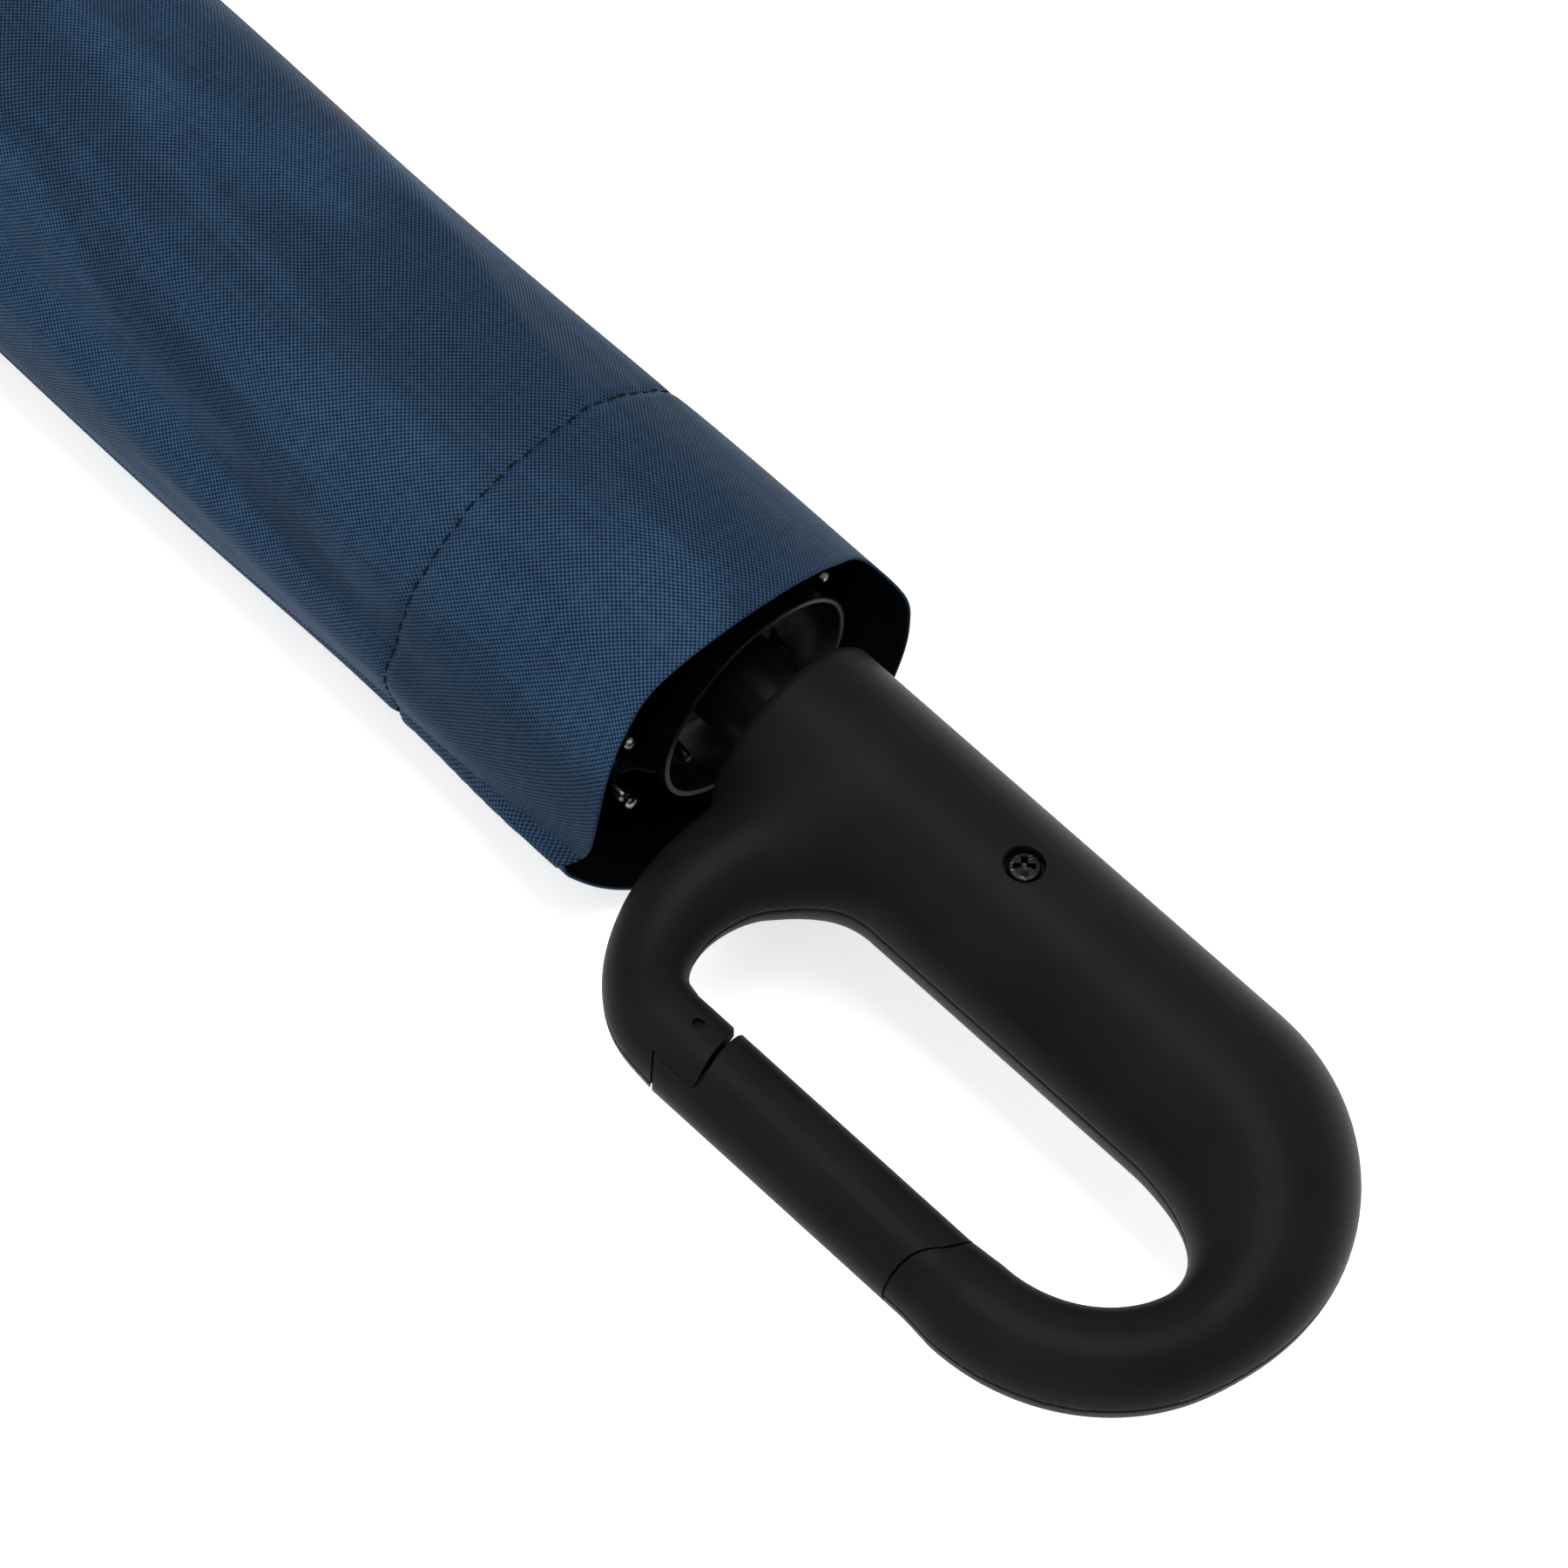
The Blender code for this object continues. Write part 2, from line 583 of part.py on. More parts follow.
def rib_turn(index):
    return Matrix.Rotation(RIB_PHASE + 2 * pi * index / RIB_COUNT, 4, "X")


def channel(name, path, height, index, parent):
    """Rolled channel rib: path holds (x, inner radius) points, and the channel opens inwards."""
    half = RIB_WIDTH / 2
    inside = half - RIB_WALL
    outline = [(-half, 0), (-half, height), (half, height), (half, 0),
               (inside, 0), (inside, height - RIB_WALL), (-inside, height - RIB_WALL), (-inside, 0)]
    bm = bmesh.new()
    x, inner = path[0]
    face = bm.faces.new([bm.verts.new((x, across, inner + up)) for across, up in outline])
    for (x_from, r_from), (x_to, r_to) in zip(path, path[1:]):
        made = bmesh.ops.extrude_face_region(bm, geom=[face])["geom"]
        verts = [item for item in made if isinstance(item, bmesh.types.BMVert)]
        bmesh.ops.translate(bm, verts=verts, vec=(x_to - x_from, 0, r_to - r_from))
        if face.is_valid and (x_from, r_from) != path[0]:
            bm.faces.remove(face)
        face = next(item for item in made if isinstance(item, bmesh.types.BMFace))
    bmesh.ops.transform(bm, matrix=rib_turn(index), verts=bm.verts)
    finish(solid(f"{name}_{index + 1}", bm), steel(), parent)


def make_ribs(index, parent):
    runner_end = RUNNER_TOP + 5 * MM
    channel("stretcher", [(runner_end, STRETCHER_INNER),
                          (runner_end - STRETCHER_LENGTH, STRETCHER_INNER)],
            STRETCHER_HEIGHT, index, parent)
    slot_floor = NOTCH_SLOT_FLOOR + FIT_GAP
    rib_top = NOTCH_START - NOTCH_LENGTH + 1 * MM
    channel("top_rib", [(rib_top + TOP_RIB_LENGTH + 8 * MM, TOP_RIB_INNER),
                        (NOTCH_START + 9 * MM, TOP_RIB_INNER),
                        (NOTCH_START + 1 * MM, slot_floor), (rib_top, slot_floor)],
            TOP_RIB_HEIGHT, index, parent)
    middle_start = RUNNER_TOP + 3 * MM
    channel("middle_rib", [(middle_start, MIDDLE_RIB_INNER),
                           (middle_start - MIDDLE_RIB_LENGTH, MIDDLE_RIB_INNER)],
            MIDDLE_RIB_HEIGHT, index, parent)
    flare = TIP_RIB_AXIS + 1.2 * MM
    profile = [(TIP_END - TIP_RIB_LENGTH, 0), (CANOPY_EDGE, 0), (TIP_END - TIP_CAP_LENGTH, 1)]
    path = [((x, 0, TIP_RIB_AXIS + (flare - TIP_RIB_AXIS) * share), TIP_WIRE_RADIUS / MM)
            for x, share in profile]
    cap = [((TIP_END - TIP_CAP_LENGTH, 0, flare), TIP_CAP_RADIUS / MM),
           ((TIP_END - 0.5 * MM, 0, flare), TIP_CAP_RADIUS / MM),
           ((TIP_END, 0, flare), TIP_CAP_RADIUS * 0.6 / MM)]
    rib = wire(f"tip_rib_{index + 1}", path, MM)
    combine(rib, "UNION", wire("cap", cap, MM))
    rib.data.transform(rib_turn(index))
    finish(rib, steel(), parent)


def make_notch(parent):
    """Crown that the top ribs hinge in: a ring on the inner tube with a slot for each rib."""
    notch = turned("top_notch", [(NOTCH_END, NOTCH_BORE), (NOTCH_END, NOTCH_RADIUS),
                                 (NOTCH_START, NOTCH_RADIUS), (NOTCH_START, NOTCH_BORE)])
    slots = []
    for index in range(RIB_COUNT):
        slot = block("slot", (NOTCH_END - 1 * MM, NOTCH_START + 1 * MM),
                     span(0, RIB_WIDTH + 2 * NOTCH_SIDE_GAP),
                     (NOTCH_SLOT_FLOOR, NOTCH_RADIUS + 1 * MM))
        slot.data.transform(rib_turn(index))
        slots.append(slot)
    combine(notch, "DIFFERENCE", *slots)
    finish(notch, nylon_black(), parent)


def make_top_cap(parent):
    peg = INNER_TUBE_RADIUS - TUBE_WALL - FIT_GAP
    profile = [(CAP_BASE + CAP_PEG_LENGTH, 0), (CAP_BASE + CAP_PEG_LENGTH, peg), (CAP_BASE, peg),
               (CAP_BASE, CAP_RADIUS), (CAP_BASE - 2 * MM, CAP_RADIUS)]
    dome = CAP_LENGTH - 2 * MM
    for step in range(1, 6):
        angle = pi / 2 * step / 6
        profile.append((CAP_BASE - 2 * MM - dome * sin(angle), CAP_RADIUS * cos(angle)))
    profile.append((CAP_END, 0))
    finish(turned("top_cap", profile, closed=False), nylon_black(), parent)


def make_canopy(parent):
    """Furled cloth as one cup over the ribs, closed at the crown round the cap's peg."""
    shoulder = CANOPY_TOP_INSIDE + CANOPY_SHOULDER
    neck = CANOPY_INNER - CANOPY_SHOULDER / 2
    profile = [(CANOPY_EDGE, CANOPY_INNER), (CANOPY_EDGE, CANOPY_RADIUS),
               (shoulder, CANOPY_RADIUS), (CANOPY_TOP, neck + CANOPY_THICKNESS / 2),
               (CANOPY_TOP, CANOPY_HOLE_RADIUS), (CANOPY_TOP_INSIDE, CANOPY_HOLE_RADIUS),
               (CANOPY_TOP_INSIDE, neck), (shoulder, CANOPY_INNER)]
    finish(turned("canopy", profile, sides=40), navy_cloth(), parent)


def make_strap(parent):
    end = STRAP_START - STRAP_WIDTH
    profile = [(end, STRAP_INNER), (end, STRAP_RADIUS), (STRAP_START, STRAP_RADIUS),
               (STRAP_START, STRAP_INNER)]
    finish(turned("canopy_strap", profile, sides=40), navy_cloth(), parent)
    middle = STRAP_START - STRAP_WIDTH / 2
    snap = rod("strap_snap", (middle, -STRAP_RADIUS - FIT_GAP, 0),
               (middle, -STRAP_RADIUS - FIT_GAP - SNAP_THICKNESS, 0), SNAP_RADIUS, 20)
    finish(snap, steel(), parent)


# Sleeve ---------------------------------------------------------------------------------------

def sleeve_form(name, start, end, radius, floor, rounding):
    """Round bag shape lying on a flat strip, with its closed end rounded off."""
    bm = bmesh.new()
    place = Matrix.Translation(((start + end) / 2, 0, 0)) @ Matrix.Rotation(pi / 2, 4, "Y")
    bmesh.ops.create_cone(bm, cap_ends=True, segments=48, radius1=radius, radius2=radius,
                          depth=start - end, matrix=place)
    rim = [edge for edge in bm.edges
           if all(abs(vert.co.x - end) < 0.01 * MM for vert in edge.verts)]
    bmesh.ops.bevel(bm, geom=rim, affect="EDGES", offset=rounding, segments=3, profile=0.5,
                    material=-1)
    form = solid(name, bm)
    below = block("below", (end - 5 * MM, start + 5 * MM), (-2 * radius, 2 * radius),
                  (-2 * radius, floor))
    return combine(form, "DIFFERENCE", below)


def make_sleeve(parent):
    outer = sleeve_form("sleeve", SLEEVE_MOUTH, SLEEVE_END, SLEEVE_RADIUS, -AXIS_HEIGHT,
                        SLEEVE_END_ROUNDING)
    inner = sleeve_form("hollow", SLEEVE_MOUTH + 2 * MM, SLEEVE_END + SLEEVE_WALL, SLEEVE_INNER,
                        SLEEVE_WALL - AXIS_HEIGHT, SLEEVE_END_ROUNDING)
    combine(outer, "DIFFERENCE", inner)
    finish(outer, navy_cloth(), parent)


def main():
    clear_scene()
    handle = empty("handle_axis", Vector((STEM_RIM_X, SLEEVE_SLACK, AXIS_HEIGHT)))
    gate_pivot = empty("gate_pivot", pin_place(), handle)
    button_slide = empty("button_slide", ORIGIN, handle)
    middle_slide = empty("middle_tube_slide", ORIGIN, handle)
    top_slide = empty("umbrella_top_slide", ORIGIN, middle_slide)
    sleeve_slide = empty("sleeve_slide", Vector((0, -SLEEVE_SLACK, 0)), top_slide)

    loop = loop_solid()
    make_gate(loop, gate_pivot)
    make_handle_shells(loop, handle)
    make_socket(handle)
    make_handle_screw(handle)
    make_gate_pin_and_spring(handle)
    make_button(button_slide)
    make_button_spring(handle)

    tube("outer_tube", OUTER_TUBE_TOP, TUBE_SEAT, OUTER_TUBE_RADIUS, handle)
    tube("middle_tube", MIDDLE_TUBE_TOP, TUBE_SEAT - TUBE_STAGGER, MIDDLE_TUBE_RADIUS,
         middle_slide)
    tube("inner_tube", NOTCH_END, TUBE_SEAT - 2 * TUBE_STAGGER, INNER_TUBE_RADIUS, top_slide)
    make_drive_spring(top_slide)

    make_runner(top_slide)
    for index in range(RIB_COUNT):
        make_ribs(index, top_slide)
    make_notch(top_slide)
    make_top_cap(top_slide)
    make_canopy(top_slide)
    make_strap(top_slide)
    make_sleeve(sleeve_slide)


main()
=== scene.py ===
"""Finished look of a compact folding umbrella with a carabiner handle, in its fabric sleeve.

Sizes are in metres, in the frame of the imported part: X runs along the shaft towards the handle,
Y points away from the gate, and Z is up through the handle's screw. Pieces round the shaft are
drawn in millimetres about the shaft's axis, with X = 0 at the stem's top rim, and placed there.
"""

from math import atan2, cos, pi, radians, sin

import bmesh
import bpy
import numpy as np
from mathutils import Matrix, Vector


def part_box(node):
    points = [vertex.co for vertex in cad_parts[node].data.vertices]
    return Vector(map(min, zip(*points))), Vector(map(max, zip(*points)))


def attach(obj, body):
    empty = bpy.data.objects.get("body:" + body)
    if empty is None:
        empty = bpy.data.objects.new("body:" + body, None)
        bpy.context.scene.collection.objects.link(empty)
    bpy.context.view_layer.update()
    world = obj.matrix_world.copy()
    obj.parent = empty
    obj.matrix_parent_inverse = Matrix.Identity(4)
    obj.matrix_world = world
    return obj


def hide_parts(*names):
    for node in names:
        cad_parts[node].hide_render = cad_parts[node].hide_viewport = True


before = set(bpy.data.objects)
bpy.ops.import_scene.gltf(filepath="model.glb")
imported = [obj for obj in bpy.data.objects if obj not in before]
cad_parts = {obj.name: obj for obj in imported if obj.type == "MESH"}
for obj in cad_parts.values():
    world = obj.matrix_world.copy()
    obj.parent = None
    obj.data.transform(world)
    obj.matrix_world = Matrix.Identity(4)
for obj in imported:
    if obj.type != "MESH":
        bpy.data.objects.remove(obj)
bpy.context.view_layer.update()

MM = 0.001

TUBE_LOW, TUBE_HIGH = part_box("outer_tube")
SHAFT = (TUBE_LOW + TUBE_HIGH) / 2
RIM = Vector((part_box("handle_front_shell")[0].x, SHAFT.y, SHAFT.z))
SLEEVE_LOW, SLEEVE_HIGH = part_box("sleeve")


# Meshes ----------------------------------------------------------------------------------------

IN_PLACE = Matrix.Translation(RIM) @ Matrix.Scale(MM, 4)   # from millimetres about the rim


def new_object(name, bm):
    """Object at the origin from a bmesh, which is used up."""
    mesh = bpy.data.meshes.new(name)
    bm.to_mesh(mesh)
    bm.free()
    piece = bpy.data.objects.new(name, mesh)
    bpy.context.scene.collection.objects.link(piece)
    return piece


def to_object(name, bm, material, smooth_angle=40):
    """Object in metres at its place, from a bmesh in millimetres about the stem's rim."""
    bmesh.ops.transform(bm, matrix=IN_PLACE, verts=bm.verts)
    return dress(new_object(name, bm), material, smooth_angle)


def gather(bm, other):
    """Adds another bmesh to a first one, and uses it up."""
    loose = bpy.data.meshes.new("loose")
    other.to_mesh(loose)
    other.free()
    bm.from_mesh(loose)
    bpy.data.meshes.remove(loose)


def dress(piece, material, smooth_angle):
    """Smooth shading with sharp edges above an angle, and the piece's material."""
    mesh = piece.data
    mesh.polygons.foreach_set("use_smooth", [True] * len(mesh.polygons))
    mesh.set_sharp_from_angle(angle=radians(smooth_angle))
    mesh.materials.clear()
    mesh.materials.append(material)
    return piece


def baked(piece):
    """Applies the piece's modifiers to its mesh."""
    view = bpy.context.evaluated_depsgraph_get()
    mesh = bpy.data.meshes.new_from_object(piece.evaluated_get(view), depsgraph=view)
    mesh.name = piece.name
    piece.modifiers.clear()
    piece.data = mesh
    return piece


def combine(piece, operation, *others):
    """Joins other bodies to a piece, or cuts it with them, and throws them away."""
    for other in others:
        change = piece.modifiers.new(operation.title(), "BOOLEAN")
        change.operation = operation
        change.solver = "MANIFOLD"
        change.object = other
        baked(piece)
        bpy.data.objects.remove(other)
    return piece


def turned(profile, sides=64, closed=True):
    """bmesh of a profile of (x, radius) points spun about X; open ends get flat caps."""
    bm = bmesh.new()
    verts = [bm.verts.new((x, 0, radius)) for x, radius in profile]
    edges = [bm.edges.new(pair) for pair in zip(verts, verts[1:])]
    if closed:
        edges.append(bm.edges.new((verts[-1], verts[0])))
    bmesh.ops.spin(bm, geom=verts + edges, cent=(0, 0, 0), axis=(1, 0, 0), angle=2 * pi,
                   steps=sides, use_merge=True)
    bmesh.ops.remove_doubles(bm, verts=bm.verts, dist=1e-4)
    bmesh.ops.recalc_face_normals(bm, faces=bm.faces)
    return bm


def rounded_profile(points, radii, steps):
    """Profile with each corner replaced by an arc-like curve that starts radii[i] away from it."""
    line = []
    count = len(points)
    for index, (point, radius) in enumerate(zip(points, radii)):
        corner = Vector(point)
        if not radius:
            line.append(tuple(corner))
            continue
        before = Vector(points[index - 1]) - corner
        after = Vector(points[(index + 1) % count]) - corner
        first = corner + before.normalized() * min(radius, before.length / 2)
        last = corner + after.normalized() * min(radius, after.length / 2)
        for step in range(steps + 1):
            share = step / steps
            line.append(tuple(first.lerp(corner, share).lerp(corner.lerp(last, share), share)))
    return line


def block(low, high, round_by=0.0, segments=3):
    """bmesh of a box between two corners, in millimetres, with its edges rounded."""
    bm = bmesh.new()
    bmesh.ops.create_cube(bm, size=1)
    low, high = Vector(low), Vector(high)
    size = high - low
    bmesh.ops.scale(bm, vec=size, verts=bm.verts)
    bmesh.ops.translate(bm, vec=(low + high) / 2, verts=bm.verts)
    if round_by:
        bmesh.ops.bevel(bm, geom=bm.edges[:], offset=round_by, segments=segments, profile=0.5,
                        affect="EDGES", material=-1)
    return bm


def upright_rod(x, y, z_low, z_high, radius, sides=32, top_radius=None):
    """bmesh of a round rod along Z."""
    bm = bmesh.new()
    bmesh.ops.create_cone(bm, cap_ends=True, segments=sides, radius1=radius,
                          radius2=radius if top_radius is None else top_radius,
                          depth=z_high - z_low)
    bmesh.ops.translate(bm, vec=(x, y, (z_low + z_high) / 2), verts=bm.verts)
    return bm


def prism(outline, z_low, z_high):
    """bmesh of a flat outline pulled up along Z."""
    bm = bmesh.new()
    face = bm.faces.new([bm.verts.new((x, y, z_low)) for x, y in outline])
    made = bmesh.ops.extrude_face_region(bm, geom=[face])["geom"]
    bmesh.ops.translate(bm, vec=(0, 0, z_high - z_low),
                        verts=[item for item in made if isinstance(item, bmesh.types.BMVert)])
    bmesh.ops.recalc_face_normals(bm, faces=bm.faces)
    return bm


def swept(path, radii, sides):
    """bmesh of a round bar along points, with a radius at each and flat ends."""
    bm = bmesh.new()
    points = [Vector(point) for point in path]
    ring = None
    for index, (point, size) in enumerate(zip(points, radii)):
        along = (points[min(index + 1, len(points) - 1)] - points[max(index - 1, 0)]).normalized()
        place = Matrix.Translation(point) @ along.to_track_quat("Z", "Y").to_matrix().to_4x4()
        made = bmesh.ops.create_circle(bm, segments=sides, radius=size, matrix=place)["verts"]
        edges = list({edge for vert in made for edge in vert.link_edges})
        if ring:
            bmesh.ops.bridge_loops(bm, edges=ring + edges)
        ring = edges
    bmesh.ops.holes_fill(bm, edges=[edge for edge in bm.edges if edge.is_boundary])
    bmesh.ops.recalc_face_normals(bm, faces=bm.faces)
    return bm


def finish(piece, body, slot, *nodes):
    """Ties a finished piece to its body and hides the plain nodes that it stands for; slot is not
    used.
    """
    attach(piece, body)
    if nodes:
        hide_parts(*nodes)
    return piece


# Materials -------------------------------------------------------------------------------------

def linear(code):
    """Linear colour from an sRGB hex code."""
    parts = [int(code[start:start + 2], 16) / 255 for start in (1, 3, 5)]
    return tuple(c / 12.92 if c <= 0.04045 else ((c + 0.055) / 1.055) ** 2.4 for c in parts) + (1,)


def add(tree, kind, inputs=None, **settings):
    """Adds a node with its settings; an input is a value or another node's output."""
    made = tree.nodes.new(kind)
    for name, value in settings.items():
        setattr(made, name, value)
    for name, value in (inputs or {}).items():
        socket = made.inputs[name]
        if isinstance(value, bpy.types.NodeSocket):
            tree.links.new(value, socket)
        else:
            socket.default_value = value
    return made


def new_material(name, **values):
    """Material with one Principled shader; values with underscores are its sockets."""
    material = bpy.data.materials.new(name)
    material.use_nodes = True
    tree = material.node_tree
    shader = tree.nodes["Principled BSDF"]
    for socket, value in values.items():
        shader.inputs[socket.replace("_", " ")].default_value = value
    return material, tree, shader


def lay_on(tree, shader, colour, relief, gloss=None):
    """Ties a shader's colour, bump and roughness to the patterns that drive them.

    relief is (pattern, strength, depth in metres); gloss is (pattern, roughness at 0, at 1).
    """
    tree.links.new(colour, shader.inputs["Base Color"])
    height, strength, depth = relief
    bump = add(tree, "ShaderNodeBump", {"Height": height, "Strength": strength,
                                        "Distance": depth})
    tree.links.new(bump.outputs["Normal"], shader.inputs["Normal"])
    if gloss:
        pattern, low, high = gloss
        rough = add(tree, "ShaderNodeMapRange", {"Value": pattern, "To Min": low, "To Max": high})
        tree.links.new(rough.outputs["Result"], shader.inputs["Roughness"])


def soft_touch_abs():
    """ABS moulding under a rubbery soft-touch lacquer: near black, with one wide dim gleam.

    A very fine spray texture breaks the gleam, and handling leaves slightly smoother patches.
    """
    material, tree, shader = new_material("soft_touch_abs", Specular_IOR_Level=0.035)
    place = add(tree, "ShaderNodeTexCoord").outputs["Object"]
    handled = add(tree, "ShaderNodeTexNoise", {"Vector": place, "Scale": 1 / (22 * MM),
                                               "Detail": 3.0, "Roughness": 0.55})
    tone = add(tree, "ShaderNodeValToRGB", {"Fac": handled.outputs["Fac"]})
    tone.color_ramp.elements[0].position = 0.35
    tone.color_ramp.elements[0].color = linear("#0e0e0f")
    tone.color_ramp.elements[1].position = 0.7
    tone.color_ramp.elements[1].color = linear("#131314")
    spray = add(tree, "ShaderNodeTexNoise", {"Vector": place, "Scale": 1 / (0.22 * MM),
                                             "Detail": 2.0})
    lay_on(tree, shader, tone.outputs["Color"], (spray.outputs["Fac"], 0.05, 0.02 * MM),
           (handled.outputs["Fac"], 0.40, 0.50))
    return material


def moulded_nylon():
    """Glass-filled nylon straight from the mould: black, satin, with faint flow marks."""
    material, tree, shader = new_material("moulded_nylon", Specular_IOR_Level=0.07)
    place = add(tree, "ShaderNodeTexCoord").outputs["Object"]
    flow = add(tree, "ShaderNodeMapping", {"Vector": place, "Scale": (60.0, 420.0, 420.0)})
    marks = add(tree, "ShaderNodeTexNoise", {"Vector": flow.outputs["Vector"], "Scale": 1.0,
                                             "Detail": 4.0, "Roughness": 0.6})
    tone = add(tree, "ShaderNodeMix", {"Factor": marks.outputs["Fac"],
                                       "A": linear("#030304"), "B": linear("#070708")},
               data_type="RGBA")
    grain = add(tree, "ShaderNodeTexNoise", {"Vector": place, "Scale": 1 / (0.5 * MM),
                                             "Detail": 3.0})
    lay_on(tree, shader, tone.outputs["Result"], (grain.outputs["Fac"], 0.12, 0.03 * MM),
           (marks.outputs["Fac"], 0.22, 0.40))
    return material


def worn_metal(name, base, bright, roughness, wear_size, wear_from=0.62):
    """Metal with a coat rubbed through in small spots, which shine where the coat is gone.

    wear_size is the width of a spot in metres, and a lower wear_from gives more of them.
    """
    material, tree, shader = new_material(name, Metallic=1.0)
    place = add(tree, "ShaderNodeTexCoord").outputs["Object"]
    spots = add(tree, "ShaderNodeTexNoise", {"Vector": place, "Scale": 1 / wear_size,
                                             "Detail": 6.0, "Roughness": 0.7})
    worn = add(tree, "ShaderNodeMapRange", {"Value": spots.outputs["Fac"], "From Min": wear_from,
                                            "From Max": wear_from + 0.08})
    tone = add(tree, "ShaderNodeMix", {"Factor": worn.outputs["Result"],
                                       "A": linear(base), "B": linear(bright)},
               data_type="RGBA")
    lay_on(tree, shader, tone.outputs["Result"], (spots.outputs["Fac"], 0.15, 0.03 * MM),
           (spots.outputs["Fac"], roughness + 0.12, roughness - 0.1))
    return material


def drawn_shaft_steel():
    """Drawn steel tube under a thin black coat: long fine draw lines along the shaft."""
    material, tree, shader = new_material("drawn_shaft_steel", Specular_IOR_Level=0.1)
    place = add(tree, "ShaderNodeTexCoord").outputs["Object"]
    stretch = add(tree, "ShaderNodeMapping", {"Vector": place,
                                              "Scale": (1 / (60 * MM), 1 / (0.7 * MM),
                                                        1 / (0.7 * MM))})
    lines = add(tree, "ShaderNodeTexNoise", {"Vector": stretch.outputs["Vector"], "Scale": 1.0,
                                             "Detail": 4.0})
    tone = add(tree, "ShaderNodeMix", {"Factor": lines.outputs["Fac"],
                                       "A": linear("#040405"), "B": linear("#09090b")},
               data_type="RGBA")
    lay_on(tree, shader, tone.outputs["Result"], (lines.outputs["Fac"], 0.08, 0.02 * MM),
           (lines.outputs["Fac"], 0.2, 0.42))
    return material


CLOTH_UNIT = 300.0   # millimetres of cloth across one unit of the cloth's own map
THREAD_PITCH = 0.35  # millimetres between threads, drawn about three times too coarse to show
CANOPY_PITCH = 0.4   # pongee's, likewise


def woven_polyester(name, shade, light, sheen=0.0, pitch=THREAD_PITCH):
    """Plain-woven polyester, dyed in the yarn: matte, with painted light and shade for its folds.

    Raised warp and weft threads alternate like a chequerboard, and slubs run along the yarns.
    """
    material, tree, shader = new_material(name, Sheen_Weight=sheen, Sheen_Roughness=0.45,
                                          Sheen_Tint=linear("#7f9cc0"), Specular_IOR_Level=0.03)
    cloth = add(tree, "ShaderNodeUVMap", uv_map="cloth").outputs["UV"]
    parts = add(tree, "ShaderNodeSeparateXYZ", {"Vector": cloth})
    waves = []
    for axis in ("X", "Y"):
        turn = add(tree, "ShaderNodeMath", {0: parts.outputs[axis], 1: pi * CLOTH_UNIT / pitch},
                   operation="MULTIPLY")
        waves.append(add(tree, "ShaderNodeMath", {0: turn.outputs[0]},
                         operation="SINE").outputs[0])
    over = add(tree, "ShaderNodeMath", {0: waves[0], 1: waves[1]}, operation="MULTIPLY")
    raised = add(tree, "ShaderNodeMapRange", {"Value": over.outputs[0], "From Min": -0.75,
                                              "From Max": 0.75}, interpolation_type="SMOOTHSTEP")
    slub_scale = [(CLOTH_UNIT / 9, CLOTH_UNIT / 0.8, 1.0), (CLOTH_UNIT / 0.8, CLOTH_UNIT / 9, 1.0)]
    slubs = []
    for scale in slub_scale:
        stretch = add(tree, "ShaderNodeMapping", {"Vector": cloth, "Scale": scale})
        slubs.append(add(tree, "ShaderNodeTexNoise", {"Vector": stretch.outputs["Vector"],
                                                      "Scale": 1.0, "Detail": 2.0}).outputs["Fac"])
    slub = add(tree, "ShaderNodeMath", {0: slubs[0], 1: slubs[1]}, operation="ADD")
    varied = add(tree, "ShaderNodeMapRange", {"Value": slub.outputs[0], "From Min": 0.7,
                                              "From Max": 1.3, "To Min": -0.12, "To Max": 0.12})
    mixed = add(tree, "ShaderNodeMath", {0: raised.outputs["Result"],
                                         1: varied.outputs["Result"]}, operation="ADD",
                use_clamp=True)
    tone = add(tree, "ShaderNodeMix", {"Factor": mixed.outputs[0],
                                       "A": linear(shade), "B": linear(light)},
               data_type="RGBA")
    # Painted light and shade: broad patches, stretched along the cloth, darken and lighten it as
    # its folds would.
    place = add(tree, "ShaderNodeTexCoord").outputs["Object"]
    stretch = add(tree, "ShaderNodeMapping", {"Vector": place,
                                              "Rotation": (0.0, 0.0, radians(24)),
                                              "Scale": (1 / (70 * MM), 1 / (20 * MM),
                                                        1 / (20 * MM))})
    patches = add(tree, "ShaderNodeTexNoise", {"Vector": stretch.outputs["Vector"], "Scale": 1.0,
                                               "Detail": 2.0, "Distortion": 0.8})
    painted_fold_shade = add(tree, "ShaderNodeMapRange", {"Value": patches.outputs["Fac"], "From Min": 0.38,
                                           "From Max": 0.62, "To Min": 0.76, "To Max": 1.18},
              interpolation_type="SMOOTHSTEP")
    fold_shaded_tone = add(tree, "ShaderNodeMix", {"Factor": 1.0, "A": tone.outputs["Result"],
                                          "B": painted_fold_shade.outputs["Result"]},
                  data_type="RGBA", blend_type="MULTIPLY")
    lay_on(tree, shader, fold_shaded_tone.outputs["Result"], (raised.outputs["Result"], 0.35, 0.08 * MM),
           (raised.outputs["Result"], 0.7, 0.5))
    return material


def spun_thread():
    """Spun polyester sewing thread: near-black navy, dull, with the twist of its plies."""
    material, tree, shader = new_material("spun_thread", Roughness=0.8, Specular_IOR_Level=0.1)
    place = add(tree, "ShaderNodeTexCoord").outputs["Object"]
    twist = add(tree, "ShaderNodeTexWave", {"Vector": place, "Scale": 1 / (2.4 * MM),
                                            "Distortion": 1.5}, bands_direction="DIAGONAL")
    tone = add(tree, "ShaderNodeMix", {"Factor": twist.outputs["Fac"],
                                       "A": linear("#04070c"), "B": linear("#0a1220")},
               data_type="RGBA")
    lay_on(tree, shader, tone.outputs["Result"], (twist.outputs["Fac"], 0.3, 0.04 * MM))
    return material


SOFT_TOUCH = soft_touch_abs()
NYLON = moulded_nylon()
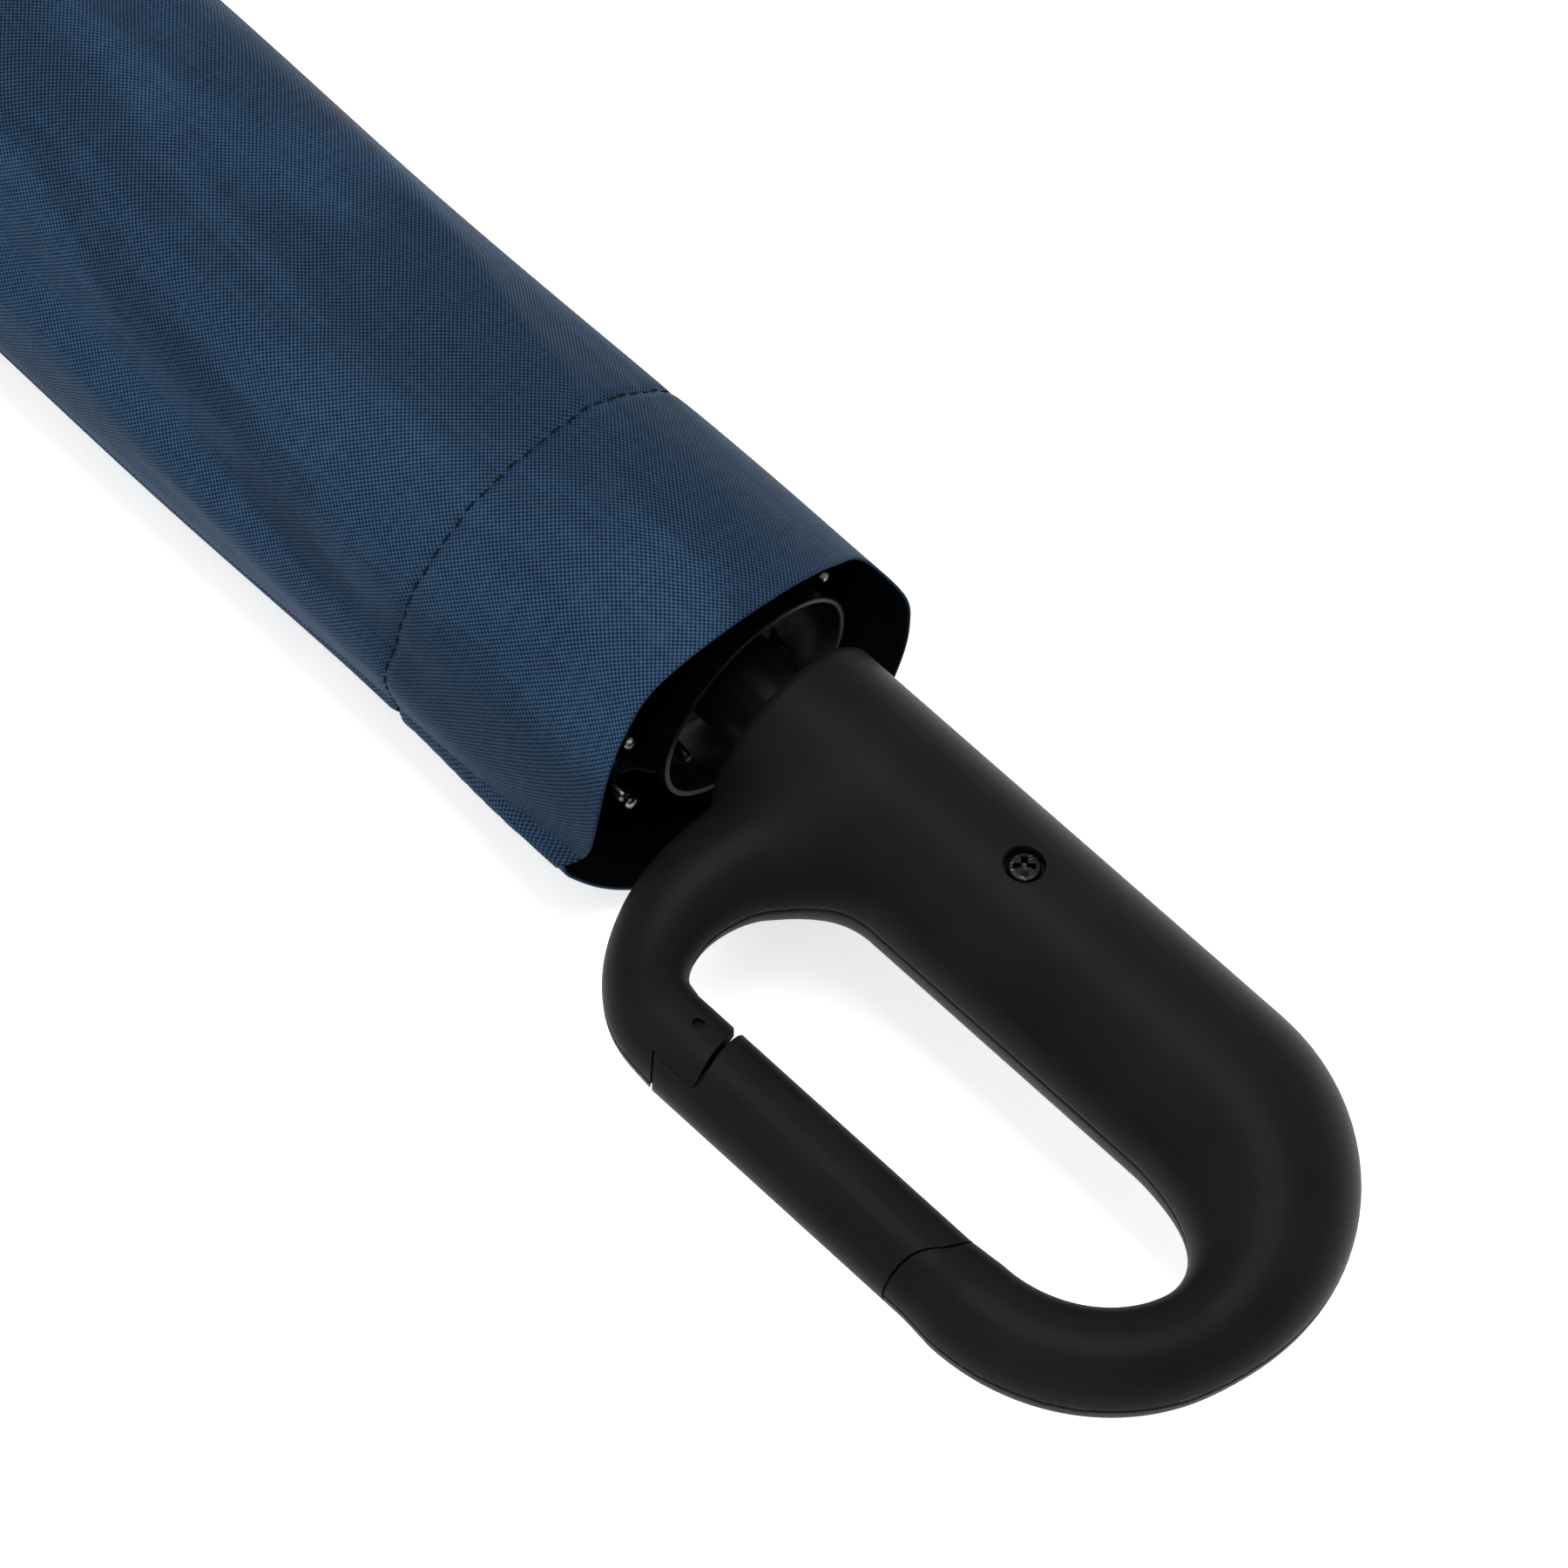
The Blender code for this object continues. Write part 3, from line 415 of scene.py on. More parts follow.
# Steel blackened in a hot salt bath: nearly black, with driver marks that show the metal.
BLACKENED_STEEL = worn_metal("blackened_steel", "#1a1a1c", "#85817a", 0.36, 0.5 * MM)
# Channel steel under black electrophoretic paint: dark and even, with a few paler rubs.
RIB_STEEL = worn_metal("coated_rib_steel", "#0b0c0d", "#2a2c30", 0.42, 2.0 * MM, 0.66)
# Spring wire left bare and oiled: dark grey, with a soft gleam along each turn.
SPRING_STEEL = worn_metal("oiled_spring_steel", "#2c2d2e", "#5a5c5f", 0.30, 1.2 * MM)
# Nickel plated over brass: warm grey, with small bright glints.
NICKEL = worn_metal("nickel_plate", "#565149", "#97928a", 0.24, 0.6 * MM, 0.5)
SHAFT_STEEL = drawn_shaft_steel()
# Uncoated face of the sleeve's cloth: navy, dull from every side.
SLEEVE_CLOTH = woven_polyester("navy_sleeve_weave", "#08101b", "#243b53")
# Its back, sealed with black polyurethane: the weave barely shows.
SLEEVE_LINING = woven_polyester("coated_sleeve_back", "#030405", "#07090c")
# Pongee, finer and denser: darkened as painted shade deep in the sleeve's mouth; a trace of sheen.
CANOPY_CLOTH = woven_polyester("navy_canopy_pongee", "#060b14", "#152333", sheen=0.02,
                               pitch=CANOPY_PITCH)
THREAD = spun_thread()


# Handle: one smooth loop, then the parting cuts ---------------------------------------------------

STEM_RADIUS, STEM_EDGE, STEM_LENGTH = 13.3, 1.1, 72.0
GATE_LINE, GATE_RADIUS = -41.7, 6.2   # the gate's own axis, across from the stem's
BEND_DEPTH, BEND_RADIUS = 22.8, 6.6   # how far the end bend reaches, and its bar where thinnest
PIN = Vector((24.4, -40.2, 0))
PIN_RADIUS = 0.75
FILLET = 5.5        # how widely the arm and the stem melt together
SKIN_VOXEL = 0.55   # width of the even skin's cells
SLOPE_STEP = 0.02   # step for measuring how the distance to the skin changes


def smooth_step(t):
    """0 up to 1, level at both ends."""
    t = np.clip(t, 0, 1)
    return t * t * (3 - 2 * t)


def resampled(stations, count):
    """Catmull-Rom curve through stations, as an array of (x, y, radius)."""
    known = np.array(stations, float)
    padded = np.vstack([2 * known[0] - known[1], known, 2 * known[-1] - known[-2]])
    spans = len(known) - 1
    rows = []
    for place in np.linspace(0, spans, count):
        span = min(int(place), spans - 1)
        t = place - span
        p0, p1, p2, p3 = padded[span:span + 4]
        rows.append(0.5 * (2 * p1 + (p2 - p0) * t + (2 * p0 - 5 * p1 + 4 * p2 - p3) * t ** 2
                           + (3 * p1 - p0 - 3 * p2 + p3) * t ** 3))
    return np.array(rows)


def arm_line():
    """From inside the stem's top, round the arm, to the gate's hinge."""
    return resampled([(15, -4, 9.2), (13.0, -10.5, 9.1), (9.9, GATE_LINE + 24.2, 7.7),
                      (8.8, GATE_LINE + 18.2, 6.7), (9.2, GATE_LINE + 12, 5.9),
                      (11.2, GATE_LINE + 6.5, 5.4), (14.4, GATE_LINE + 2.6, 5.4),
                      (18.6, GATE_LINE + 0.5, 5.9), (PIN.x, GATE_LINE, GATE_RADIUS)], 56)


def ring_line():
    """From the hinge along the gate, round the end bend and into the stem's centre."""
    gate = [(x, GATE_LINE, GATE_RADIUS) for x in np.linspace(PIN.x, STEM_LENGTH - 5, 6)]
    bend = []
    for angle in np.linspace(pi, 0, 60):
        taper = smooth_step((angle - radians(5)) / radians(100))
        bend.append((STEM_LENGTH + BEND_DEPTH * sin(angle),
                     GATE_LINE / 2 * (1 - cos(angle)),
                     STEM_RADIUS + (BEND_RADIUS - STEM_RADIUS) * taper))
    return np.array(gate + bend + [(STEM_LENGTH - 5, 0, STEM_RADIUS)])


def distance_to_line(points, line):
    """Distance from points to the skin of a round bar whose radius changes along a line."""
    best = np.full(len(points), 1e9)
    for (ax, ay, ra), (bx, by, rb) in zip(line, line[1:]):
        along = np.array([bx - ax, by - ay, 0.0])
        start = points - (ax, ay, 0.0)
        t = np.clip(start @ along / max(along @ along, 1e-9), 0, 1)
        gap = np.linalg.norm(start - t[:, None] * along, axis=1) - (ra + t * (rb - ra))
        np.minimum(best, gap, out=best)
    return best


def distance_to_stem(points):
    """Distance to the round stem with its rounded top rim."""
    half = STEM_LENGTH / 2
    along = np.abs(points[:, 0] - half) - half + STEM_EDGE
    out = np.hypot(points[:, 1], points[:, 2]) - STEM_RADIUS + STEM_EDGE
    return (np.hypot(np.maximum(along, 0), np.maximum(out, 0))
            + np.minimum(np.maximum(along, out), 0) - STEM_EDGE)


ARM, RING = arm_line(), ring_line()


def handle_distance(points):
    """Distance to the handle's skin, with a fillet where the arm leaves the stem."""
    main = np.minimum(distance_to_stem(points), distance_to_line(points, RING))
    arm = distance_to_line(points, ARM)
    fillet = FILLET * smooth_step((points[:, 1] + 31) / 8) + 0.01
    near = np.maximum(fillet - np.abs(main - arm), 0) / fillet
    return np.minimum(main, arm) - near * near * fillet / 4


def skin_slope(points):
    """Which way, and how fast, the distance to the handle's skin grows."""
    steps = np.eye(3) * SLOPE_STEP
    return np.stack([handle_distance(points + step) - handle_distance(points - step)
                     for step in steps], axis=1) / (2 * SLOPE_STEP)


def make_loop():
    """The whole handle as one skin: a fine remesh drawn onto the exact surface."""
    bm = turned([(0, 0), (0, STEM_RADIUS), (STEM_LENGTH, STEM_RADIUS), (STEM_LENGTH, 0)], 48,
                closed=False)
    for line in (ARM[::5], RING[::3]):
        gather(bm, swept([(x, y, 0) for x, y, _ in line], [r for _, _, r in line], 24))
    loop = new_object("loop", bm)
    remesh = loop.modifiers.new("Even skin", "REMESH")
    remesh.mode = "VOXEL"
    remesh.voxel_size = SKIN_VOXEL
    baked(loop)
    points = np.empty(len(loop.data.vertices) * 3)
    loop.data.vertices.foreach_get("co", points)
    points = points.reshape(-1, 3)
    for _ in range(3):
        here = handle_distance(points)
        slope = skin_slope(points)
        steep = np.maximum((slope * slope).sum(1), 0.2)
        points -= slope * (here / steep)[:, None]
    loop.data.vertices.foreach_set("co", points.ravel())
    loop.data.update()
    return loop


def twin(piece, name):
    """A second object with its own copy of the mesh."""
    copy = bpy.data.objects.new(name, piece.data.copy())
    bpy.context.scene.collection.objects.link(copy)
    return copy


def tool(bm):
    """Throw-away cutting body, in millimetres like the loop."""
    return new_object("tool", bm)


# Hinge and gate, in X and Y about the pin.
HINGE_GAP, HEEL_GAP, GATE_GAP = 0.7, 0.3, 0.35   # air before the cheeks, at the heel, at the nose
FACE_FOOT, FACE_LOW, FACE_SLOPE = 4.3, -2.2, 0.21   # sloped front of the cheeks
FACE_END = (5.1, -5.3)
TONGUE_TOP, TONGUE_SIDE = 4.2, -2.9   # half height and inner side of the gate's tongue
TONGUE_GAP = 0.18
EYE_LOW, EYE_HIGH, EYE_RADIUS = -2.8, 1.2, 4.0   # the gate's eye, which turns on the pin
FORK_HALF = 3.1                                  # half the slot in which the eye turns
GATE_LENGTH = 41.0
REACH = 8.7      # past the bar's outside, for cuts right through it
CUT_HALF = 8.0   # likewise, up and down


def cheek_outline():
    """Edge of the arm's two cheeks beside the gate, about the pin."""
    return [(1.6, REACH), (1.6, 4.9), (2.3, 3.9), (3.2, 3.0), (FACE_FOOT, FACE_LOW), FACE_END,
            (FACE_END[0], -REACH)]


def gate_outline():
    """Hinge end of the gate's full-height part, set off from the cheeks."""
    foot, end = FACE_FOOT + HINGE_GAP, FACE_END[0] + HINGE_GAP
    return [(foot - FACE_SLOPE * (REACH - FACE_LOW), REACH), (foot, FACE_LOW),
            (end, FACE_END[1]), (end, -REACH)]


def tongue_block(gap, half_height, reach):
    """Outer side of the hinge, between the cheeks, where the gate's tongue lies flush."""
    outline = [(-1.9 + gap, TONGUE_SIDE), (reach, TONGUE_SIDE), (reach, -REACH),
               (0.6 + gap, -REACH), (-1.9 + gap, -5.9)]
    return tool(prism([(PIN.x + x, PIN.y + y) for x, y in outline], -half_height, half_height))


def nose_outline(setback):
    """Curved cut at the gate's free end, drawn back by the air it leaves."""
    end = GATE_LENGTH - setback
    return [(end - 1.4, -REACH), (end - 1.3, -6.6), (end - 1.2, -5.4), (end - 0.9, -3.9),
            (end - 0.4, -2.6), (end + 0.5, -1.2), (end + 1.2, -0.4), (end + 1.9, 1.2),
            (end + 2.2, 3.4), (end + 2.2, REACH)]


def gate_block(hinge_end, setback):
    """Cutting body for the stretch of the loop that is the gate."""
    outline = hinge_end + nose_outline(setback)
    return tool(prism([(PIN.x + x, PIN.y + y) for x, y in outline], -CUT_HALF, CUT_HALF))


def in_place(piece, material):
    """Moves a finished mesh from millimetres about the stem's rim to its place in metres."""
    piece.data.transform(IN_PLACE)
    return dress(piece, material, smooth_angle=32)


PART_LINE = 0.05   # half the visible gap between the two shells
EDGE_EASE = 0.12   # softened edge beside the parting line


def half_shell(loop, name, side):
    """One half of the handle, cut just off the mid-plane, with its edge eased."""
    shell = twin(loop, name)
    bm = bmesh.new()
    bm.from_mesh(shell.data)
    cut = bmesh.ops.bisect_plane(bm, geom=bm.verts[:] + bm.edges[:] + bm.faces[:], dist=1e-5,
                                 plane_co=(0, 0, side * PART_LINE), plane_no=(0, 0, -side),
                                 clear_outer=True)["geom_cut"]
    bmesh.ops.holes_fill(bm, edges=[item for item in cut if isinstance(item, bmesh.types.BMEdge)])
    rim = [vert for vert in bm.verts if side * vert.co.z - PART_LINE < 1e-4
           and any(len(face.verts) < 6 for face in vert.link_faces)]
    points = np.array([vert.co[:] for vert in rim])
    on_skin = np.abs(handle_distance(points)) < 0.03
    for vert, slope, outer in zip(rim, skin_slope(points), on_skin):
        if outer:
            vert.co -= Vector(slope) * EDGE_EASE
    bmesh.ops.recalc_face_normals(bm, faces=bm.faces)
    bm.to_mesh(shell.data)
    bm.free()
    return shell


BORE_RADIUS, BORE_END = 9.0, 45.3   # the shaft's hole down the stem
SCREW = Vector((38.7, 1.2, 0))
RECESS_FLOOR = 10.9
SCREW_SEAT = RECESS_FLOOR + 0.3
BUTTON_X = 18.0


def make_gate(loop):
    """The gate, with its flush tongue and the eye that turns on the pin."""
    gate, tongue = twin(loop, "gate_arm"), twin(loop, "tongue")
    combine(gate, "INTERSECT", gate_block(gate_outline(), GATE_GAP))
    combine(tongue, "INTERSECT", tongue_block(HEEL_GAP, TONGUE_TOP - TONGUE_GAP, 9))
    combine(gate, "UNION", tongue)
    eye = tool(upright_rod(PIN.x, PIN.y, EYE_LOW, EYE_HIGH, EYE_RADIUS, 48))
    root = block((PIN.x, PIN.y - 3.6, EYE_LOW), (PIN.x + 9, PIN.y + 2.8, EYE_HIGH))
    combine(eye, "UNION", tool(root))
    combine(gate, "UNION", eye)
    bore = upright_rod(PIN.x, PIN.y, -CUT_HALF, CUT_HALF, PIN_RADIUS + 0.3)
    combine(gate, "DIFFERENCE", tool(bore))
    finish(in_place(gate, SOFT_TOUCH), "gate", "soft_touch_black", "gate")


def make_handle():
    """Gate, then the rest of the loop as two shells with their cut-outs."""
    loop = make_loop()
    make_gate(loop)
    fork = block((PIN.x - 4.6, PIN.y + TONGUE_SIDE - 0.7, -FORK_HALF),
                 (PIN.x + 12, PIN.y + 7.2, FORK_HALF))
    pin_hole = upright_rod(PIN.x, PIN.y, -CUT_HALF, CUT_HALF, PIN_RADIUS + 0.05)
    bore = turned([(-1, 0), (-1, BORE_RADIUS), (BORE_END, BORE_RADIUS), (BORE_END, 0)], 64,
                  closed=False)
    combine(loop, "DIFFERENCE", gate_block(cheek_outline(), 0), tool(fork),
            tongue_block(0, TONGUE_TOP, 12), tool(pin_hole), tool(bore))
    front = half_shell(loop, "handle_front", 1)
    recess = upright_rod(SCREW.x, SCREW.y, RECESS_FLOOR, 15, 2.65, 48)
    lead_in = upright_rod(SCREW.x, SCREW.y, 12.9, 13.9, 2.5, 48, top_radius=3.5)
    shank = upright_rod(SCREW.x, SCREW.y, 6, 15, 1.7)
    combine(front, "DIFFERENCE", tool(recess), tool(lead_in), tool(shank))
    finish(in_place(front, SOFT_TOUCH), "handle", "soft_touch_black", "handle_front_shell")
    back = half_shell(loop, "handle_back", -1)
    window = block((BUTTON_X - 5.3, -3.8, -15), (BUTTON_X + 5.3, 3.8, -6), 1.2)
    pocket = block((BUTTON_X - 6, -4.2, -12.0), (BUTTON_X + 6, 4.2, -4.5))
    combine(back, "DIFFERENCE", tool(window), tool(pocket))
    finish(in_place(back, SOFT_TOUCH), "handle", "soft_touch_black", "handle_back_shell")
    bpy.data.objects.remove(loop)


def make_cross_screw():
    """Pan-head screw with a tapered cross recess, turned an eighth of a turn."""
    top = SCREW_SEAT + 1.3
    bm = upright_rod(SCREW.x, SCREW.y, SCREW_SEAT, top, 2.12, 48)
    rim = [edge for edge in bm.edges if all(abs(vert.co.z - top) < 1e-6 for vert in edge.verts)]
    bmesh.ops.bevel(bm, geom=rim, offset=0.38, segments=4, profile=0.5, affect="EDGES",
                    material=-1)
    screw = tool(bm)
    screw.name = "cross_screw"
    combine(screw, "UNION", tool(upright_rod(SCREW.x, SCREW.y, -11.5, SCREW_SEAT + 0.5, 1.4, 24)))
    for turn in (pi / 4, 3 * pi / 4):
        wing = block((-1.55, -0.44, -0.85), (1.55, 0.44, 0.3), 0.1, 2)
        for vert in wing.verts:
            if vert.co.z < 0:
                vert.co.x *= 0.62
                vert.co.y *= 0.75
        bmesh.ops.transform(wing, verts=wing.verts, matrix=Matrix.Translation(
            (SCREW.x, SCREW.y, top)) @ Matrix.Rotation(turn, 4, "Z"))
        combine(screw, "DIFFERENCE", tool(wing))
    finish(in_place(screw, BLACKENED_STEEL), "handle", "dark_steel", "handle_screw")


def make_button():
    """Push button with rounded edges and three grip ridges."""
    bm = block((BUTTON_X - 5, -3.5, -14.5), (BUTTON_X + 5, 3.5, -11.7), 1.0, 4)
    button = tool(bm)
    button.name = "button_cap"
    for x in (-2, 0, 2):
        ridge = block((BUTTON_X + x - 0.35, -2.6, -14.85), (BUTTON_X + x + 0.35, 2.6, -14), 0.3)
        combine(button, "UNION", tool(ridge))
    finish(in_place(button, NYLON), "button", "moulded_nylon", "push_button")


# Shaft, runner, cap -------------------------------------------------------------------------------

def make_tube(name, node, start, end, radius, bore, body):
    """Drawn tube with rolled-in rims."""
    points = [(start, bore), (start, radius), (end, radius), (end, bore)]
    bm = turned(rounded_profile(points, [0.12, 0.3, 0.3, 0.12], 3), 64)
    finish(to_object(name, bm, SHAFT_STEEL), body, "coated_shaft", node)


def make_shaft():
    make_tube("shaft_outer", "outer_tube", -196, 33, 6.5, 5.9, "handle")
    make_tube("shaft_middle", "middle_tube", -200, 30, 5.6, 5.0, "middle_tube")
    make_tube("shaft_inner", "inner_tube", -217, 27, 4.7, 4.1, "umbrella_top")


def make_runner_cup():
    """Runner with a thin flared cup, a rolled lip and two small pegs inside it."""
    points = [(-26.5, 6.8), (-26.5, 8.4), (-15.3, 8.4), (-13.5, 12.5), (-10.3, 14.9), (-5.8, 15.9),
              (-5.8, 15.0), (-9.9, 14.0), (-12.6, 11.3), (-13.5, 8.4), (-11.5, 8.4), (-11.5, 6.8)]
    radii = [0.2, 0.5, 1.2, 1.6, 2.0, 0.4, 0.4, 2.0, 0.9, 0.7, 0.3, 0.2]
    runner = to_object("runner_cup", turned(rounded_profile(points, radii, 5), 96), NYLON)
    finish(runner, "umbrella_top", "moulded_nylon", "runner")
    for index, (y, z, end) in enumerate([(-10.3, -4.6, -7.2), (9.5, -4.5, -9.8)]):
        peg = swept([(-13.4, y, z), (end - 1.6, y, z), (end - 0.5, y, z), (end, y, z)],
                    [1.3, 0.85, 0.75, 0.45], 20)
        finish(to_object(f"runner_peg_{index + 1}", peg, NYLON), "umbrella_top", "moulded_nylon")


def make_cap():
    """Domed top cap with a waist groove under its rim."""
    points = [(-212.1, 0.1), (-212.1, 3.8), (-220.1, 3.8), (-220.1, 11.0), (-222.6, 11.0),
              (-223.1, 10.4), (-223.8, 10.4), (-224.3, 10.8), (-229.5, 9.9), (-233.6, 6.8),
              (-235.1, 0.1)]
    radii = [0, 0.4, 0, 0.7, 0.5, 0.3, 0.3, 0.5, 3.0, 3.5, 0]
    bm = turned([(-212.1, 0)] + rounded_profile(points, radii, 5)[1:-1] + [(-235.1, 0)], 72,
                closed=False)
    finish(to_object("cap_dome", bm, NYLON), "umbrella_top", "moulded_nylon", "top_cap")


RIB_COUNT, RIB_PHASE = 8, radians(33.75)
# How far each rib's end strays from its even place: along X and outwards in mm, round in degrees.
TIP_STRAY = [(-2.8, 0, 0), (-1.2, 0.7, -2), (-0.6, 2.7, -5), (-0.8, 0.6, 0), (0, 0.3, 0),
             (0, 0, 0), (0.3, -0.5, -1), (-1.6, 0, 0)]


def make_rib_ends():
    """Spring-wire tip ribs, each with a plated end cap, a neck and a ball."""
    for index in range(RIB_COUNT):
        on, out, swing = TIP_STRAY[index]
        turn = Matrix.Rotation(RIB_PHASE + 2 * pi * index / RIB_COUNT, 4, "X")
        bend = [(-197.5, 16.35), (-60, 16.35), (-30, 16.35), (-13 + on, 16.45 + out),
                (-12.4 + on, 17.2 + out)]
        ends = [0, 0, 0, swing, swing]
        wire = swept([turn @ Matrix.Rotation(radians(off), 4, "X") @ Vector((x, 0, r))
                      for (x, r), off in zip(bend, ends)],
                     [0.75, 0.75, 0.75, 0.75, 0.7], 12)
        cap_line = [(-12.6, 0.8), (-12.4, 0.98), (-10.4, 0.98), (-10.2, 0.85), (-9.95, 0.55),
                    (-9.75, 0.55), (-9.55, 0.85), (-9.2, 1.0), (-8.85, 0.85), (-8.6, 0.5)]
        turn = turn @ Matrix.Rotation(radians(swing), 4, "X")
        cap = swept([turn @ Vector((x + on, 0, 17.55 + out)) for x, _ in cap_line],
                    [r for _, r in cap_line], 20)
        number = index + 1
        finish(to_object(f"tip_wire_{number}", wire, RIB_STEEL), "umbrella_top", "spring_steel",
               f"tip_rib_{number}")
        finish(to_object(f"tip_end_{number}", cap, NICKEL), "umbrella_top", "nickel_tips")


# Sleeve -------------------------------------------------------------------------------------------

SLEEVE_COLUMNS = 168          # faces round the sleeve
SLEEVE_CUT_RADIUS = 26.0      # of the flat cloth's girth
MOUTH_X = -7.5
BACK_X = (SLEEVE_LOW.x - RIM.x) / MM
BASE_CORNER = 5.0             # radius where the side turns into the round base
AXIS_Y = ((SLEEVE_LOW.y + SLEEVE_HIGH.y) / 2 - RIM.y) / MM
CLOTH_WALL = 0.35


def around(angle, stations):
    """Smooth periodic curve through (angle in degrees, value) stations."""
    angles = np.array([a for a, _ in stations], float)
    values = np.array([v for _, v in stations], float)
    count = len(angles)
    spread = np.concatenate([angles - 360, angles, angles + 360])
    levels = np.tile(values, 3)
    slopes = np.zeros(3 * count)
    slopes[1:-1] = (levels[2:] - levels[:-2]) / (spread[2:] - spread[:-2])
    degrees = np.mod(np.degrees(angle) - angles[0], 360) + angles[0]
    index = np.clip(np.searchsorted(spread, degrees, side="right") - 1, 0, 3 * count - 2)
    width = spread[index + 1] - spread[index]
    t = (degrees - spread[index]) / width
    return ((1 + 2 * t) * (1 - t) ** 2 * levels[index] + t * (1 - t) ** 2 * width * slopes[index]
            + t * t * (3 - 2 * t) * levels[index + 1]
            + t * t * (t - 1) * width * slopes[index + 1])


MOUTH_RADIUS = [(-150, 26.6), (-130, 26.0), (-105, 25.6), (-75, 25.6), (-45, 26.0), (-18, 26.4),
                (0, 27.2), (12, 27.7), (24, 27.1), (45, 25.6), (75, 25.4), (100, 25.5),
                (122, 25.9), (145, 25.5), (165, 25.2), (181, 25.3), (190, 26.0), (203, 26.9)]
MOUTH_LIP = [(-150, -7.4), (-130, -5.0), (-105, -2.4), (-75, -0.4), (-45, 0.3), (-18, 0.3),
             (0, -0.1), (12, -1.2), (24, -5.9), (45, -5.5), (60, -4.9), (75, -4.6), (87, -4.7),
             (101, -5.2), (116, -6.0), (124, -6.2), (133, -5.8), (141, -5.4), (149, -4.8),
             (162, -3.9), (175, -3.8), (184, -4.9), (191, -7.6), (203, -8.2)]
BODY_RADIUS = [(-150, 25.8), (-130, 25.9), (-105, 25.7), (-75, 25.7), (-45, 26.2), (-18, 26.9),
               (0, 27.3), (12, 27.4), (24, 27.3), (45, 26.6), (75, 25.6), (100, 25.4), (122, 25.5),
               (145, 25.2), (165, 25.1), (181, 25.2), (190, 25.3), (203, 25.5)]
HEM_X = -40.3


def seam_angle(x):
    """Where the side seam runs: it wanders a little down the sleeve from the mouth."""
    return np.radians(185 + 21 * smooth_step((MOUTH_X - x) / 42))


# Each fold: angle and x at its middle, its drift in degrees per mm, width in degrees, half
# length in mm, and depth in mm (a positive depth is a valley).
FOLDS = [
    (156, -92, 0.16, 11, 52, 1.1),
    (176, -70, 0.20, 9, 36, -0.7),
    (60, -60, 0.5, 7, 34, -0.35),
    (84, -100, 0.45, 8, 40, 0.4),
    (118, -88, 0.4, 7, 30, -0.35),
    (128, -140, 0.05, 16, 50, 0.6),
    (96, -70, -0.10, 15, 34, 0.45),
    (64, -128, 0.12, 9, 40, 0.4),
    (48, -96, 0.10, 12, 30, -0.35),
    (112, -52, 0.35, 10, 20, -0.4),
    (140, -24, -0.5, 13, 16, 0.5),
    (100, -22, 0.3, 14, 15, -0.35),
    (20, -60, 0.05, 12, 40, 0.4),
    (-40, -90, 0.05, 20, 70, 0.8),
    (-20, -170, -0.08, 14, 40, 0.7),
    (-130, -100, 0.06, 16, 60, 0.8),
    (-160, -160, -0.1, 12, 40, 0.5),
    (80, -190, 0.1, 14, 36, 0.6),
    (150, -195, -0.12, 12, 34, 0.6),
]


def fold_depth(angle, x):
    """How far the folds and a slight ripple take the cloth in, in mm."""
    depth = np.zeros_like(angle)
    for centre, place, drift, width, reach, deep in FOLDS:
        middle = np.radians(centre + drift * (x - place))
        off = np.angle(np.exp(1j * (angle - middle))) / radians(width)
        run = (x - place) / reach
        depth += deep * np.exp(-off * off) * np.exp(-run * run)
    ripple = (0.30 * np.sin(3 * angle + x / 31.0) * np.sin(x / 47.0 + 1.0)
              + 0.24 * np.sin(5 * angle - x / 23.0 + 2.0)
              + 0.16 * np.sin(9 * angle + x / 17.0) * np.sin(x / 29.0))
    return 1.7 * depth + ripple


